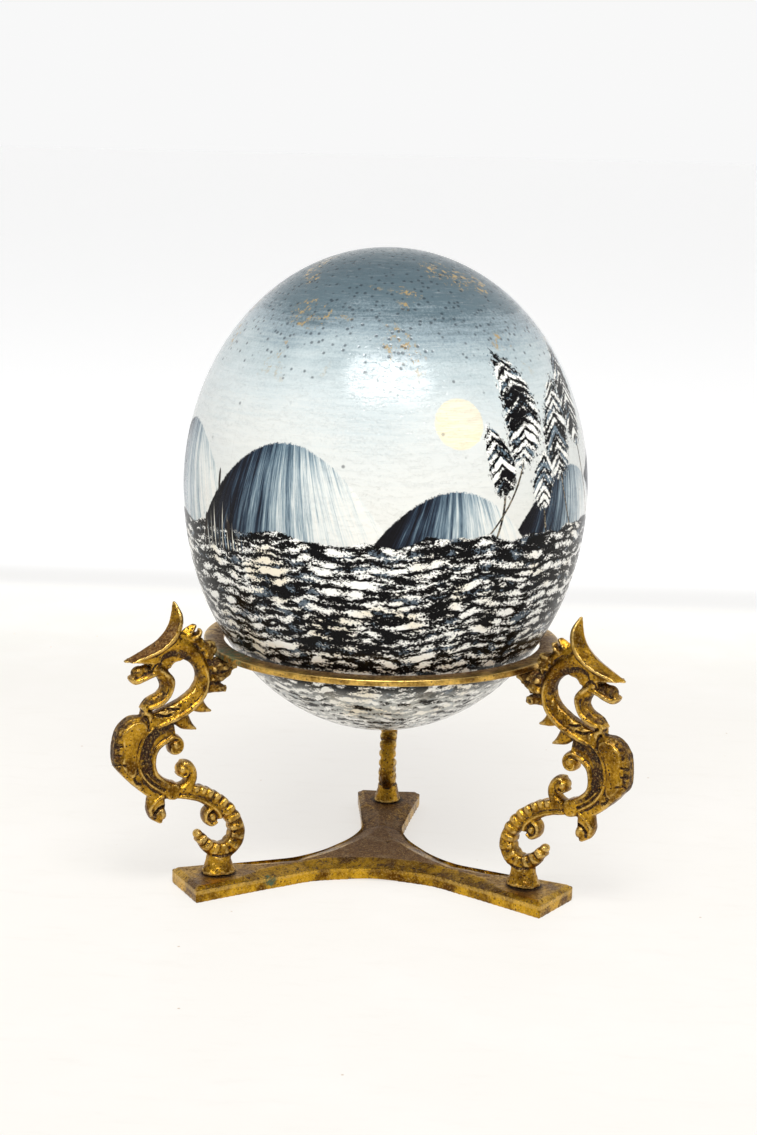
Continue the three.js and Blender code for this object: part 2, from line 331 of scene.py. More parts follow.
class Nodes:
    """Adds nodes to one tree and joins them by name."""

    def __init__(self, tree):
        self.tree = tree

    def add(self, kind, inputs=None, **settings):
        node = self.tree.nodes.new(kind)
        for key, value in settings.items():
            setattr(node, key, value)
        for key, value in (inputs or {}).items():
            self.feed(node.inputs[key], value)
        return node

    def feed(self, socket, value):
        if isinstance(value, bpy.types.NodeSocket):
            self.tree.links.new(value, socket)
        elif value is not None:
            socket.default_value = value

    def math(self, operation, *values, clamp=False):
        node = self.add("ShaderNodeMath", dict(enumerate(values)), operation=operation, use_clamp=clamp)
        return node.outputs[0]

    def plus(self, first, second):
        return self.math("ADD", first, second)

    def minus(self, first, second):
        return self.math("SUBTRACT", first, second)

    def times(self, first, second):
        return self.math("MULTIPLY", first, second)

    def larger(self, first, second):
        return self.math("MAXIMUM", first, second)

    def swing(self, value, width):
        """Turns a value between 0 and 1 into one that swings round 0 by the whole width."""
        return self.times(self.minus(value, 0.5), width)

    def vector(self, operation, first, second=None, scale=None):
        node = self.add("ShaderNodeVectorMath", {0: first, 1: second}, operation=operation)
        if scale is not None:
            self.feed(node.inputs["Scale"], scale)
        return node.outputs["Value" if operation == "LENGTH" else "Vector"]

    def rise(self, value, low, high):
        """0 below low, 1 above high, smooth between; low may be above high."""
        inputs = {"Value": value, "From Min": low, "From Max": high}
        return self.add("ShaderNodeMapRange", inputs, interpolation_type="SMOOTHSTEP").outputs["Result"]

    def mix(self, factor, first, second, blend="MIX"):
        node = self.add("ShaderNodeMix", data_type="RGBA", blend_type=blend)
        for index, value in ((0, factor), (6, first), (7, second)):
            self.feed(node.inputs[index], value)
        return node.outputs[2]

    def blend(self, factor, first, second):
        return self.add("ShaderNodeMix", {0: factor, 2: first, 3: second}).outputs[0]

    def noise(self, vector, scale, detail, rough=0.5):
        inputs = {"Vector": vector, "Scale": scale, "Detail": detail, "Roughness": rough}
        return self.add("ShaderNodeTexNoise", inputs).outputs["Fac"]

    def spots(self, vector, scale):
        return self.add("ShaderNodeTexVoronoi", {"Vector": vector, "Scale": scale})

    def ramp(self, value, stops):
        node = self.add("ShaderNodeValToRGB", {"Fac": value})
        elements = node.color_ramp.elements
        while len(elements) < len(stops):
            elements.new(0.5)
        for element, (position, colour) in zip(elements, stops):
            element.position = position
            element.color = colour
        return node.outputs["Color"]

    def join(self, x, y, z):
        return self.add("ShaderNodeCombineXYZ", {"X": x, "Y": y, "Z": z}).outputs[0]

    def split(self, vector):
        return self.add("ShaderNodeSeparateXYZ", {0: vector}).outputs

    def bump(self, height, distance):
        """The normal of a surface whose relief is the distance, in millimetres, times the height."""
        inputs = {"Height": height, "Distance": distance * MM, "Strength": 1.0}
        return self.add("ShaderNodeBump", inputs).outputs["Normal"]


def new_material(name):
    material = bpy.data.materials.new(name)
    material.use_nodes = True
    material.node_tree.nodes.clear()
    nodes = Nodes(material.node_tree)
    out = nodes.add("ShaderNodeOutputMaterial")
    skin = nodes.add("ShaderNodeBsdfPrincipled")
    nodes.feed(out.inputs["Surface"], skin.outputs["BSDF"])
    return material, nodes, skin


def new_group(name, inputs, outputs):
    tree = bpy.data.node_groups.new(name, "ShaderNodeTree")
    for label, kind, default in inputs:
        socket = tree.interface.new_socket(label, in_out="INPUT", socket_type=kind)
        if default is not None:
            socket.default_value = default
    for label, kind in outputs:
        tree.interface.new_socket(label, in_out="OUTPUT", socket_type=kind)
    nodes = Nodes(tree)
    return tree, nodes, nodes.add("NodeGroupInput").outputs, nodes.add("NodeGroupOutput").inputs


FLOAT, COLOUR, VECTOR = "NodeSocketFloat", "NodeSocketColor", "NodeSocketVector"


def millimetres(nodes):
    """The surface point in millimetres of the object's own frame."""
    point = nodes.add("ShaderNodeTexCoord").outputs["Object"]
    return nodes.vector("SCALE", point, scale=1 / MM)


# ------------------------------------------------------------------ brass


def make_brass_skin():
    """Aged brass: bright metal, brown patina, dirt and painted shade in the recesses, verdigris and casting
    pits.
    """
    tree, n, given, out = new_group(
        "brass skin",
        [
            ("Point", VECTOR, None),
            ("Patina", FLOAT, 0.0),
            ("Grime and shade", FLOAT, 0.0),
            ("Edge wear", FLOAT, 0.0),
            ("Verdigris", FLOAT, 0.0),
            ("Pitting", FLOAT, 1.0),
            ("Bright", COLOUR, shade(196, 148, 42)),
            ("Dull", COLOUR, shade(97, 63, 13)),
            ("Brown", COLOUR, shade(126, 88, 44)),
        ],
        [("Colour", COLOUR), ("Roughness", FLOAT), ("Metal", FLOAT), ("Height", FLOAT)],
    )
    point = given["Point"]
    cloud = n.noise(point, 0.16, 4, 0.6)
    mottle = n.noise(point, 0.9, 4, 0.62)
    fine = n.noise(point, 3.1, 3, 0.6)
    pit_cells = n.spots(point, 0.95).outputs["Distance"]
    pit_field = n.rise(n.noise(point, 0.3, 3), 0.38, 0.55)
    pits = n.times(n.rise(pit_cells, 0.33, 0.16), pit_field)
    pits = n.times(pits, given["Pitting"])

    metal_colour = n.mix(n.rise(cloud, 0.35, 0.65), given["Bright"], given["Dull"])
    metal_colour = n.mix(n.times(n.rise(mottle, 0.5, 0.72), 0.55), metal_colour, given["Dull"])
    patina = n.plus(given["Patina"], n.swing(mottle, 0.7))
    patina = n.minus(patina, n.times(given["Edge wear"], 0.9))
    patina = n.rise(patina, 0.2, 0.75)
    brown = n.mix(n.rise(mottle, 0.36, 0.62), given["Brown"], shade(90, 56, 20))
    brown = n.mix(n.times(n.rise(cloud, 0.5, 0.66), 0.5), brown, shade(150, 122, 86))
    colour = n.mix(patina, metal_colour, brown)
    # Dirt and painted shade: where the grime and shade mask is high, the metal takes the dark dirt colour.
    grime_and_shade = n.plus(given["Grime and shade"], n.swing(fine, 0.5))
    grime_and_shade = n.larger(n.rise(grime_and_shade, 0.16, 0.66), n.times(pits, 0.85))
    dirt = n.mix(n.rise(mottle, 0.4, 0.65), shade(30, 10, 0), shade(68, 36, 6))
    colour = n.mix(grime_and_shade, colour, dirt)
    worn = n.times(n.rise(given["Edge wear"], 0.25, 0.8), n.rise(mottle, 0.3, 0.5))
    colour = n.mix(n.times(worn, 0.8), colour, shade(226, 190, 112))
    # A sandy casting skin: bright and dark grains all over.
    sand = n.noise(point, 1.7, 4, 0.7)
    colour = n.mix(n.times(n.rise(sand, 0.52, 0.68), 0.42), colour, shade(222, 186, 116))
    colour = n.mix(n.times(n.rise(sand, 0.48, 0.32), 0.5), colour, dirt)
    bloom = n.rise(n.noise(point, 0.55, 4, 0.65), 0.42, 0.6)
    green = n.math("MULTIPLY", given["Verdigris"], bloom, clamp=True)
    colour = n.mix(green, colour, n.mix(fine, shade(44, 58, 36), shade(104, 128, 98)))

    # Handling has left fine scratches that cross the patina.
    along_x = n.noise(n.vector("MULTIPLY", point, (0.25, 4.5, 1.0)), 1.0, 4, 0.7)
    along_y = n.noise(n.vector("MULTIPLY", point, (3.6, 0.3, 1.0)), 1.0, 4, 0.7)
    scratch = n.larger(n.rise(along_x, 0.56, 0.68), n.rise(along_y, 0.57, 0.69))
    scratch = n.times(n.times(scratch, patina), n.minus(1.0, grime_and_shade))
    colour = n.mix(n.times(scratch, 0.5), colour, shade(188, 158, 112))

    dull = n.larger(patina, n.larger(grime_and_shade, green))
    roughness = n.plus(0.3, n.times(dull, 0.36))
    roughness = n.plus(roughness, n.swing(fine, 0.22))
    stained = n.larger(n.times(patina, 0.45), n.larger(grime_and_shade, green))
    height = n.minus(n.times(fine, 0.5), pits)
    height = n.plus(height, n.times(mottle, 0.7))
    height = n.plus(height, n.times(sand, 0.8))
    n.feed(out["Colour"], colour)
    n.feed(out["Roughness"], roughness)
    n.feed(out["Metal"], n.minus(1.0, n.times(stained, 0.45)))
    n.feed(out["Height"], height)
    return tree


BRASS_SKIN = make_brass_skin()


def brass_material(name, up_patina, relief, pitting=1.0, **colours):
    """Brass for one casting: up_patina browns what faces up, and relief is in millimetres.

    Its grime and painted shade, edge wear, patina and verdigris come from the piece's own layers.
    """
    material, n, skin = new_material(name)
    point = millimetres(n)
    up = n.split(n.add("ShaderNodeNewGeometry").outputs["Normal"])["Z"]
    layers = {
        label: n.add("ShaderNodeAttribute", attribute_name=label).outputs["Fac"]
        for label in ("grime_and_shade", "wear", "patina", "verdigris")
    }
    facing_up = n.times(n.rise(up, 0.25, 0.85), up_patina)
    inputs = {
        "Point": point,
        "Patina": n.plus(facing_up, layers["patina"]),
        "Grime and shade": layers["grime_and_shade"],
        "Edge wear": layers["wear"],
        "Verdigris": layers["verdigris"],
        "Pitting": pitting,
    }
    group = n.add("ShaderNodeGroup", node_tree=BRASS_SKIN)
    for key, value in {**inputs, **colours}.items():
        n.feed(group.inputs[key], value)
    n.feed(skin.inputs["Base Color"], group.outputs["Colour"])
    n.feed(skin.inputs["Roughness"], group.outputs["Roughness"])
    n.feed(skin.inputs["Metallic"], group.outputs["Metal"])
    n.feed(skin.inputs["Normal"], n.bump(group.outputs["Height"], relief))
    return material


# ------------------------------------------------------------------ painted shell

# The painting runs round the whole egg. Its motifs stand at longitudes and latitudes in degrees, with
# longitude 0 at the front and growing towards +X.
SHELL_MM_PER_DEGREE = 1.18
MOON = (24, 25)
MOON_RADIUS = 7.8
SHORE = -5
HILL_FOOT = -14
UNDERSIDE = -51
PAINT_RELIEF = 0.09
LACQUER_ROUGHNESS = 0.11

# Longitude, latitude of the top and half width, from far to near.
HILLS = [
    (-70, 21, 36), (98, 16, 40), (150, 20, 44), (-128, 15, 38),
    (-25, 19, 35), (64, 12, 30), (22, 8, 27), (-172, 9, 32), (-93, 7, 26),
]
# Longitude, latitude, half width and half height in millimetres, and lean.
PLUMES = [
    (36, 15, 5.0, 11, -0.2), (74, 30, 7.5, 16, 0.26), (46, 28, 7.6, 18, -0.02), (60, 22, 7.4, 16, 0.2),
    (51, 9, 5.0, 9, 0.1),
    (152, 25, 6.6, 15, 0.1), (164, 17, 5.6, 12, 0.22), (-118, 23, 6.4, 16, -0.1), (-106, 15, 5.2, 11, -0.2),
]
# Longitude, half spread and height in millimetres.
REED_CLUMPS = [(-47, 13, 25), (118, 14, 25), (-150, 16, 29)]


def make_dab_rows():
    """Rows of short ragged brush dabs, each row with its own lengths and gaps."""
    tree, n, given, out = new_group(
        "dab rows",
        [
            ("Point", VECTOR, None),
            ("Around", VECTOR, None),
            ("Height", FLOAT, 0.0),
            ("Row pitch", FLOAT, 3.4),
            ("Weight", FLOAT, 0.2),
            ("Seed", FLOAT, 0.0),
        ],
        [("Mask", FLOAT)],
    )
    around = n.vector("ADD", given["Around"], n.join(given["Seed"], 0.0, 0.0))
    sway = n.times(n.noise(around, 2.4, 1), 3.2)
    flutter = n.times(n.noise(n.vector("ADD", around, (0.0, 4.4, 0.0)), 11, 2), 1.3)
    level = n.math("DIVIDE", given["Height"], given["Row pitch"])
    level = n.plus(n.plus(level, given["Seed"]), n.plus(sway, flutter))
    row = n.math("FLOOR", level)
    offset = n.math("ABSOLUTE", n.minus(n.minus(level, row), 0.5))
    spread = n.vector("SCALE", around, scale=8.5)
    spread = n.vector("ADD", spread, n.join(0.0, 0.0, n.times(row, 5.37)))
    length = n.swing(n.noise(spread, 1.0, 1.5), 2.3)
    stretched = n.vector("MULTIPLY", given["Point"], (0.8, 0.8, 1.15))
    ragged = n.swing(n.noise(stretched, 1.6, 5, 0.75), 2.5)
    half = n.plus(given["Weight"], n.plus(length, ragged))
    half = n.math("MINIMUM", half, 0.41)
    n.feed(out["Mask"], n.rise(n.minus(half, offset), -0.02, 0.05))
    return tree


def make_dry_streaks():
    """Dry-brush streaks running down a slope, white through steel blue to black as the tone falls."""
    tree, n, given, out = new_group(
        "dry streaks",
        [("Across", FLOAT, 0.0), ("Down", FLOAT, 0.0), ("Tone", FLOAT, 0.5)],
        [("Colour", COLOUR)],
    )
    down = given["Down"]
    broad = n.noise(n.join(given["Across"], n.times(down, 0.02), 0.0), 0.42, 3, 0.6)
    thin = n.noise(n.join(given["Across"], n.times(down, 0.05), 4.0), 1.5, 4, 0.72)
    streak = n.plus(n.times(broad, 0.9), n.times(thin, 0.8))
    tone = n.plus(given["Tone"], n.times(n.minus(streak, 0.85), 1.15))
    stops = [
        (0.0, shade(18, 17, 20)),
        (0.2, shade(27, 30, 40)),
        (0.33, shade(46, 60, 76)),
        (0.48, shade(94, 116, 130)),
        (0.64, shade(156, 172, 179)),
        (0.8, shade(216, 221, 218)),
        (1.0, shade(233, 232, 225)),
    ]
    n.feed(out["Colour"], n.ramp(tone, stops))
    return tree


def make_reeds():
    """Upright reed blades of mixed height in clumps, each blade in its own cell round the shell."""
    tree, n, given, out = new_group(
        "reeds",
        [
            ("Along", FLOAT, 0.0),
            ("Height", FLOAT, 0.0),
            ("Reach", FLOAT, 0.0),
            ("Pitch", FLOAT, 1.6),
            ("Width", FLOAT, 0.3),
            ("Seed", FLOAT, 0.0),
        ],
        [("Blade", FLOAT), ("Head", FLOAT)],
    )
    # The blades lean by slowly changing amounts.
    slow = n.join(n.times(given["Along"], 0.07), given["Seed"], 0.0)
    bend = n.swing(n.noise(slow, 1, 1), 0.75)
    bend = n.times(bend, given["Height"])
    place = n.math("DIVIDE", n.plus(given["Along"], bend), given["Pitch"])
    place = n.plus(place, given["Seed"])
    cell = n.math("FLOOR", place)
    dice = n.split(n.add("ShaderNodeTexWhiteNoise", {"W": cell}, noise_dimensions="1D").outputs["Color"])
    middle = n.plus(0.25, n.times(dice["X"], 0.5))
    aside = n.minus(n.minus(place, cell), middle)
    aside = n.times(n.math("ABSOLUTE", aside), given["Pitch"])
    tall = n.times(given["Reach"], n.plus(0.35, n.times(dice["Y"], 0.65)))
    left = n.minus(tall, given["Height"])
    width = n.times(given["Width"], n.rise(left, -0.3, 9.0))
    blade = n.times(n.rise(n.minus(width, aside), -0.06, 0.08), n.rise(left, 0.0, 0.5))
    # A few of the tallest blades carry a long dark seed head.
    from_head = n.math("DIVIDE", n.minus(left, 3.2), 3.4)
    round_end = n.minus(1.0, n.times(from_head, from_head))
    round_end = n.math("SQRT", n.larger(round_end, 0.0))
    head = n.minus(n.times(round_end, 0.8), aside)
    head = n.times(n.rise(head, -0.05, 0.1), n.rise(dice["Z"], 0.6, 0.62))
    n.feed(out["Blade"], blade)
    n.feed(out["Head"], n.times(head, n.rise(given["Reach"], 8.0, 12.0)))
    return tree


class Shell:
    """Where a point of the painted shell lies, and the brush textures that the motifs share."""

    def __init__(self, nodes):
        n = self.nodes = nodes
        self.point = millimetres(n)
        x, y, z = n.split(self.point)
        girth = n.math("SQRT", n.plus(n.times(x, x), n.times(y, y)))
        girth = n.larger(girth, 0.5)
        self.around = n.join(n.math("DIVIDE", x, girth), n.math("DIVIDE", y, girth), 0.0)
        self.latitude = n.math("DEGREES", n.math("ARCTAN2", n.minus(z, EGG_WIDEST_Z), girth))
        self.longitude = n.math("DEGREES", n.math("ARCTAN2", x, n.times(y, -1.0)))
        self.height = n.times(self.latitude, SHELL_MM_PER_DEGREE)
        self.along = n.times(self.longitude, SHELL_MM_PER_DEGREE)
        self.narrowing = n.math("COSINE", n.math("RADIANS", self.latitude))
        self.stroke = n.noise(n.vector("MULTIPLY", self.point, (0.035, 0.035, 0.9)), 1.0, 5, 0.65)
        self.hair = n.noise(n.vector("MULTIPLY", self.point, (0.16, 0.16, 3.4)), 1.0, 5, 0.75)
        self.cloud = n.noise(self.point, 0.03, 3, 0.55)
        self.grainy = n.noise(self.point, 1.3, 5, 0.75)
        self.rag = n.swing(n.noise(self.point, 1.6, 4, 0.7), 2.2)

    def from_longitude(self, longitude):
        """Degrees from a longitude, the short way round."""
        n = self.nodes
        return n.math("WRAP", n.minus(self.longitude, longitude), 180.0, -180.0)

    def offset(self, longitude, latitude):
        """Millimetres to the side of and above a spot on the shell."""
        n = self.nodes
        aside = n.times(self.from_longitude(longitude), SHELL_MM_PER_DEGREE)
        above = n.times(n.minus(self.latitude, latitude), SHELL_MM_PER_DEGREE)
        return n.times(aside, self.narrowing), above

    def placed(self, kind, **inputs):
        """The outputs of a node group placed on the shell; an underscore stands for a space in its inputs."""
        n = self.nodes
        node = n.add("ShaderNodeGroup", node_tree=kind)
        for key, value in inputs.items():
            n.feed(node.inputs[key.replace("_", " ")], value)
        return node.outputs


def paint_sky(n, shell):
    """Slate at the crown, thinning to a warm white at the horizon, with rubbed ochre scuffs."""
    level = n.plus(shell.latitude, n.swing(shell.stroke, 18))
    level = n.plus(level, n.swing(shell.cloud, 26))
    level = n.plus(level, n.swing(shell.grainy, 20))
    stops = [
        (0.0, shade(223, 223, 217)),
        (0.2, shade(215, 218, 215)),
        (0.34, shade(198, 207, 208)),
        (0.45, shade(174, 187, 190)),
        (0.55, shade(138, 154, 161)),
        (0.64, shade(86, 104, 112)),
        (0.82, shade(70, 87, 95)),
        (1.0, shade(82, 97, 103)),
    ]
    colour = n.ramp(n.math("DIVIDE", level, 90.0), stops)
    colour = n.mix(n.times(n.rise(shell.hair, 0.52, 0.8), 0.24), colour, shade(214, 220, 222))
    colour = n.mix(n.times(n.rise(shell.hair, 0.46, 0.2), 0.3), colour, shade(84, 98, 108))
    zone = n.times(n.rise(shell.latitude, 30, 44), n.rise(n.noise(shell.point, 0.06, 2), 0.55, 0.61))
    smudge = n.noise(n.vector("MULTIPLY", shell.point, (0.7, 0.7, 0.42)), 0.8, 6, 0.75)
    scuff = n.times(n.times(n.rise(smudge, 0.53, 0.59), zone), 0.85)
    return n.mix(scuff, colour, shade(166, 140, 88))


def paint_moon(n, shell, colour):
    """A pale moon with a faint glow round it."""
    aside, above = shell.offset(*MOON)
    away = n.vector("LENGTH", n.join(aside, above, 0.0))
    away = n.plus(away, n.swing(shell.stroke, 1.4))
    glow = n.times(n.rise(away, MOON_RADIUS + 8, MOON_RADIUS - 1), 0.2)
    colour = n.mix(glow, colour, shade(230, 230, 226))
    disc = n.mix(n.rise(shell.hair, 0.35, 0.65), shade(230, 216, 184), shade(247, 238, 212))
    disc = n.mix(n.times(n.rise(shell.cloud, 0.5, 0.6), 0.3), disc, shade(196, 200, 200))
    return n.mix(n.rise(away, MOON_RADIUS + 0.2, MOON_RADIUS - 0.3), colour, disc)


def paint_hills(n, shell, colour, streaks):
    """Rounded hills, dark on the side away from the moon."""
    for longitude, top, half_width in HILLS:
        aside = shell.from_longitude(longitude)
        share = n.math("DIVIDE", aside, half_width)
        swell = n.larger(n.minus(1.0, n.times(share, share)), 0.0)
        crest = n.plus(HILL_FOOT, n.times(swell, top - HILL_FOOT))
        below = n.plus(n.minus(crest, shell.latitude), shell.rag)
        down = n.minus(top, shell.latitude)
        fan = n.math("DIVIDE", aside, n.plus(0.62, n.math("DIVIDE", down, 1.6 * (top - HILL_FOOT))))
        tone = n.plus(0.55, n.times(share, 0.72))
        tone = n.minus(tone, n.times(n.rise(below, 7.0, 0.0), 0.1))
        across = n.plus(fan, longitude * 3.1)
        hill = shell.placed(streaks, Across=across, Down=down, Tone=tone)["Colour"]
        colour = n.mix(n.rise(below, 0.0, 0.5), colour, hill)
    return colour


def paint_water(n, shell, colour, dab_rows):
    """Dark water with rows of cream and steel-blue dabs, pale and sparse under the egg."""
    shore = n.plus(SHORE, n.swing(n.noise(shell.around, 2.6, 2), 13))
    shore = n.plus(shore, shell.rag)
    under = n.plus(shell.latitude, n.swing(shell.cloud, 8))
    under = n.rise(under, UNDERSIDE + 3, UNDERSIDE - 5)
    deep = n.mix(n.rise(shell.grainy, 0.4, 0.7), shade(4, 4, 4), shade(15, 14, 16))
    water = n.mix(under, deep, shade(178, 180, 175))
    rows = {"Point": shell.point, "Around": shell.around, "Height": shell.height}
    blue = shell.placed(dab_rows, **rows, Row_pitch=4.6, Weight=-0.13, Seed=0.37)["Mask"]
    cream = shell.placed(dab_rows, **rows, Row_pitch=3.2, Weight=0.045, Seed=8.0)["Mask"]
    fleck = shell.placed(dab_rows, **rows, Row_pitch=2.1, Weight=-0.15, Seed=21.6)["Mask"]
    dark = shell.placed(dab_rows, **rows, Row_pitch=3.3, Weight=0.24, Seed=15.4)["Mask"]
    steel = n.mix(shell.hair, shade(70, 92, 116), shade(150, 168, 180))
    water = n.mix(n.times(blue, 0.5), water, steel)
    water = n.mix(n.times(dark, under), water, shade(6, 6, 6))
    tint = n.mix(n.rise(n.noise(shell.point, 0.07, 2), 0.5, 0.7), shade(250, 249, 243), shade(242, 233, 212))
    cream = n.larger(cream, fleck)
    water = n.mix(cream, water, tint)
    return n.mix(n.rise(n.minus(shore, shell.latitude), 0.0, 0.5), colour, water), cream


def paint_plumes(n, shell, colour, dab_rows):
    """Feathered grass plumes on thin stems, dark with cream and steel-blue dabs."""
    feather = n.noise(n.vector("MULTIPLY", shell.point, (1.0, 1.0, 0.6)), 1.1, 5, 0.7)
    feather = n.swing(feather, 1.3)
    thin = n.plus(0.42, n.times(shell.rag, 0.12))
    bodies, stems, slant = 0.0, 0.0, 0.0
    for longitude, latitude, half_width, half_height, lean in PLUMES:
        aside, above = shell.offset(longitude, latitude)
        bow = 0.012 if lean > 0 else -0.012
        curve = n.times(above, n.plus(lean, n.times(above, bow)))
        aside = n.minus(aside, curve)
        taper = n.plus(half_width, n.times(above, -0.22 * half_width / half_height))
        across = n.math("DIVIDE", aside, taper)
        away = n.vector("LENGTH", n.join(across, n.math("DIVIDE", above, half_height), 0.0))
        body = n.rise(n.plus(away, feather), 1.0, 0.93)
        stem = n.rise(n.minus(thin, n.math("ABSOLUTE", aside)), -0.05, 0.08)
        stem = n.times(stem, n.rise(above, -0.4 * half_height, -0.6 * half_height))
        stems = n.larger(stems, stem)
        slant = n.blend(body, slant, n.math("ABSOLUTE", aside))
        bodies = n.larger(bodies, body)
    stems = n.times(stems, n.rise(shell.latitude, SHORE - 7, SHORE - 5))
    bark = n.mix(n.rise(shell.grainy, 0.45, 0.6), shade(24, 22, 22), shade(150, 138, 116))
    colour = n.mix(stems, colour, bark)
    slanted = n.plus(shell.height, n.times(slant, 0.85))
    rows = {"Point": shell.point, "Around": shell.around, "Height": slanted}
    cream = shell.placed(dab_rows, **rows, Row_pitch=2.7, Weight=0.12, Seed=3.3)["Mask"]
    blue = shell.placed(dab_rows, **rows, Row_pitch=3.4, Weight=-0.04, Seed=40.7)["Mask"]
    plume = n.mix(n.times(blue, 0.6), shade(10, 9, 10), shade(120, 144, 160))
    plume = n.mix(cream, plume, shade(246, 245, 238))
    return n.mix(bodies, colour, plume)


def paint_reeds(n, shell, colour):
    """Clumps of bulrushes standing in the shallows."""
    reeds = make_reeds()
    reach = 0.0
    for longitude, half_spread, tall in REED_CLUMPS:
        away = n.math("ABSOLUTE", shell.from_longitude(longitude))
        clump = n.times(n.rise(away, half_spread, half_spread * 0.15), tall)
        reach = n.larger(reach, clump)
    stem_height = n.minus(shell.height, (SHORE - 6) * SHELL_MM_PER_DEGREE)
    wet = n.rise(stem_height, -1.5, 0.5)
    for seed, pitch, width, share, tint in (
        (31.0, 2.6, 0.36, 0.72, shade(96, 120, 138)),
        (57.0, 2.3, 0.3, 0.8, shade(222, 218, 204)),
        (83.0, 1.4, 0.3, 0.55, shade(18, 18, 20)),
        (7.0, 2.1, 0.34, 1.0, shade(22, 22, 27)),
    ):
        row = shell.placed(reeds, Along=shell.along, Height=stem_height, Pitch=pitch, Width=width, Seed=seed,
                          Reach=n.times(reach, share))
        colour = n.mix(n.times(row["Blade"], wet), colour, tint)
    # Only the tallest row, painted last, carries seed heads.
    head_tint = n.mix(shell.hair, shade(20, 18, 18), shade(60, 52, 46))
    return n.mix(n.times(row["Head"], wet), colour, head_tint)


def painted_shell():
    """Hand-painted eggshell under gloss lacquer: brushed sky, moon, hills and plumes over dark water."""
    material, n, skin = new_material("painted shell")
    dab_rows = make_dab_rows()
    shell = Shell(n)
    colour = paint_sky(n, shell)
    colour = paint_moon(n, shell, colour)
    colour = paint_hills(n, shell, colour, make_dry_streaks())
    colour = paint_plumes(n, shell, colour, dab_rows)
    colour, dabs = paint_water(n, shell, colour, dab_rows)
    colour = paint_reeds(n, shell, colour)

    # Pores of the shell show through the paint, most of all on the crown.
    pores = n.spots(n.vector("ADD", shell.point, (0.0, 0.0, 3.0)), 0.47)
    crowded = n.plus(n.times(n.rise(shell.latitude, 31, 50), 0.96), 0.02)
    chosen = n.rise(n.minus(crowded, n.split(pores.outputs["Color"])["X"]), -0.02, 0.02)
    pore = n.times(n.rise(pores.outputs["Distance"], 0.34, 0.12), chosen)
    shallow = n.rise(n.spots(shell.point, 0.5).outputs["Distance"], 0.26, 0.05)
    colour = n.mix(n.times(pore, 0.66), colour, shade(38, 46, 54))
    relief = n.plus(n.times(pore, -1.0), n.times(shallow, -0.6))
    relief = n.plus(relief, n.times(shell.hair, 0.18))
    relief = n.plus(relief, n.times(dabs, 0.3))
    uneven = n.noise(shell.point, 0.5, 3)
    n.feed(skin.inputs["Base Color"], colour)
    n.feed(skin.inputs["Roughness"], n.plus(0.16, n.times(uneven, 0.14)))
    skin.inputs["Specular IOR Level"].default_value = 0.06
    # The lacquer has sunk into the black paint and stands glossy over the pale paint.
    gloss = n.rise(n.split(colour)["Y"], 0.01, 0.22)
    n.feed(skin.inputs["Coat Weight"], n.plus(0.06, n.times(gloss, 0.74)))
    skin.inputs["Coat Roughness"].default_value = LACQUER_ROUGHNESS
    normal = n.bump(relief, PAINT_RELIEF)
    n.feed(skin.inputs["Normal"], normal)
    n.feed(skin.inputs["Coat Normal"], normal)
    return material


def make_egg():
    """The shell: two half ellipsoids, the lower one a little taller, that meet where the egg is widest."""
    low, high = (Vector(corner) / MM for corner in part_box("egg"))
    upper, lower = high.z - EGG_WIDEST_Z, EGG_WIDEST_Z - low.z
    verts = [(0, 0, low.z)]
    for i in range(1, EGG_ROWS):
        a = math.pi * (i / EGG_ROWS - 0.5)
        z = EGG_WIDEST_Z + (upper if a > 0 else lower) * math.sin(a)
        for k in range(EGG_SEGMENTS):
            turn = 2 * math.pi * k / EGG_SEGMENTS
            verts.append((high.x * math.cos(a) * math.cos(turn), high.y * math.cos(a) * math.sin(turn), z))
    verts.append((0, 0, high.z))
    top = len(verts) - 1
    last = top - EGG_SEGMENTS
    faces = []
    for k in range(EGG_SEGMENTS):
        after = (k + 1) % EGG_SEGMENTS
        faces.append((0, 1 + after, 1 + k))
        faces.append((last + k, last + after, top))
        for i in range(EGG_ROWS - 2):
            start = 1 + i * EGG_SEGMENTS
            faces.append((start + k, start + after, start + after + EGG_SEGMENTS, start + k + EGG_SEGMENTS))
    finish_piece("egg_shell", plain_mesh("egg_shell", verts, faces), painted_shell(), "painted_shell", "egg")


# ------------------------------------------------------------------ ring


def ring_section(inner, outer, low, high):
    """The ring's cross-section as [radius, height], with an arc at each of its four corners."""
    half, middle = (high - low) / 2, (high + low) / 2
    section = []
    for r, z, start in ((outer, 1, 0), (inner, 1, 90), (inner, -1, 180), (outer, -1, 270)):
        side = 1 if r == outer else -1
        for step in range(5):
            turn = math.radians(start + step * 90 / 4)
            section.append((
                r - side * RING_EDGE + RING_EDGE * math.cos(turn),
                middle + z * (half - RING_EDGE) + RING_EDGE * math.sin(turn),
            ))
    return np.array(section)


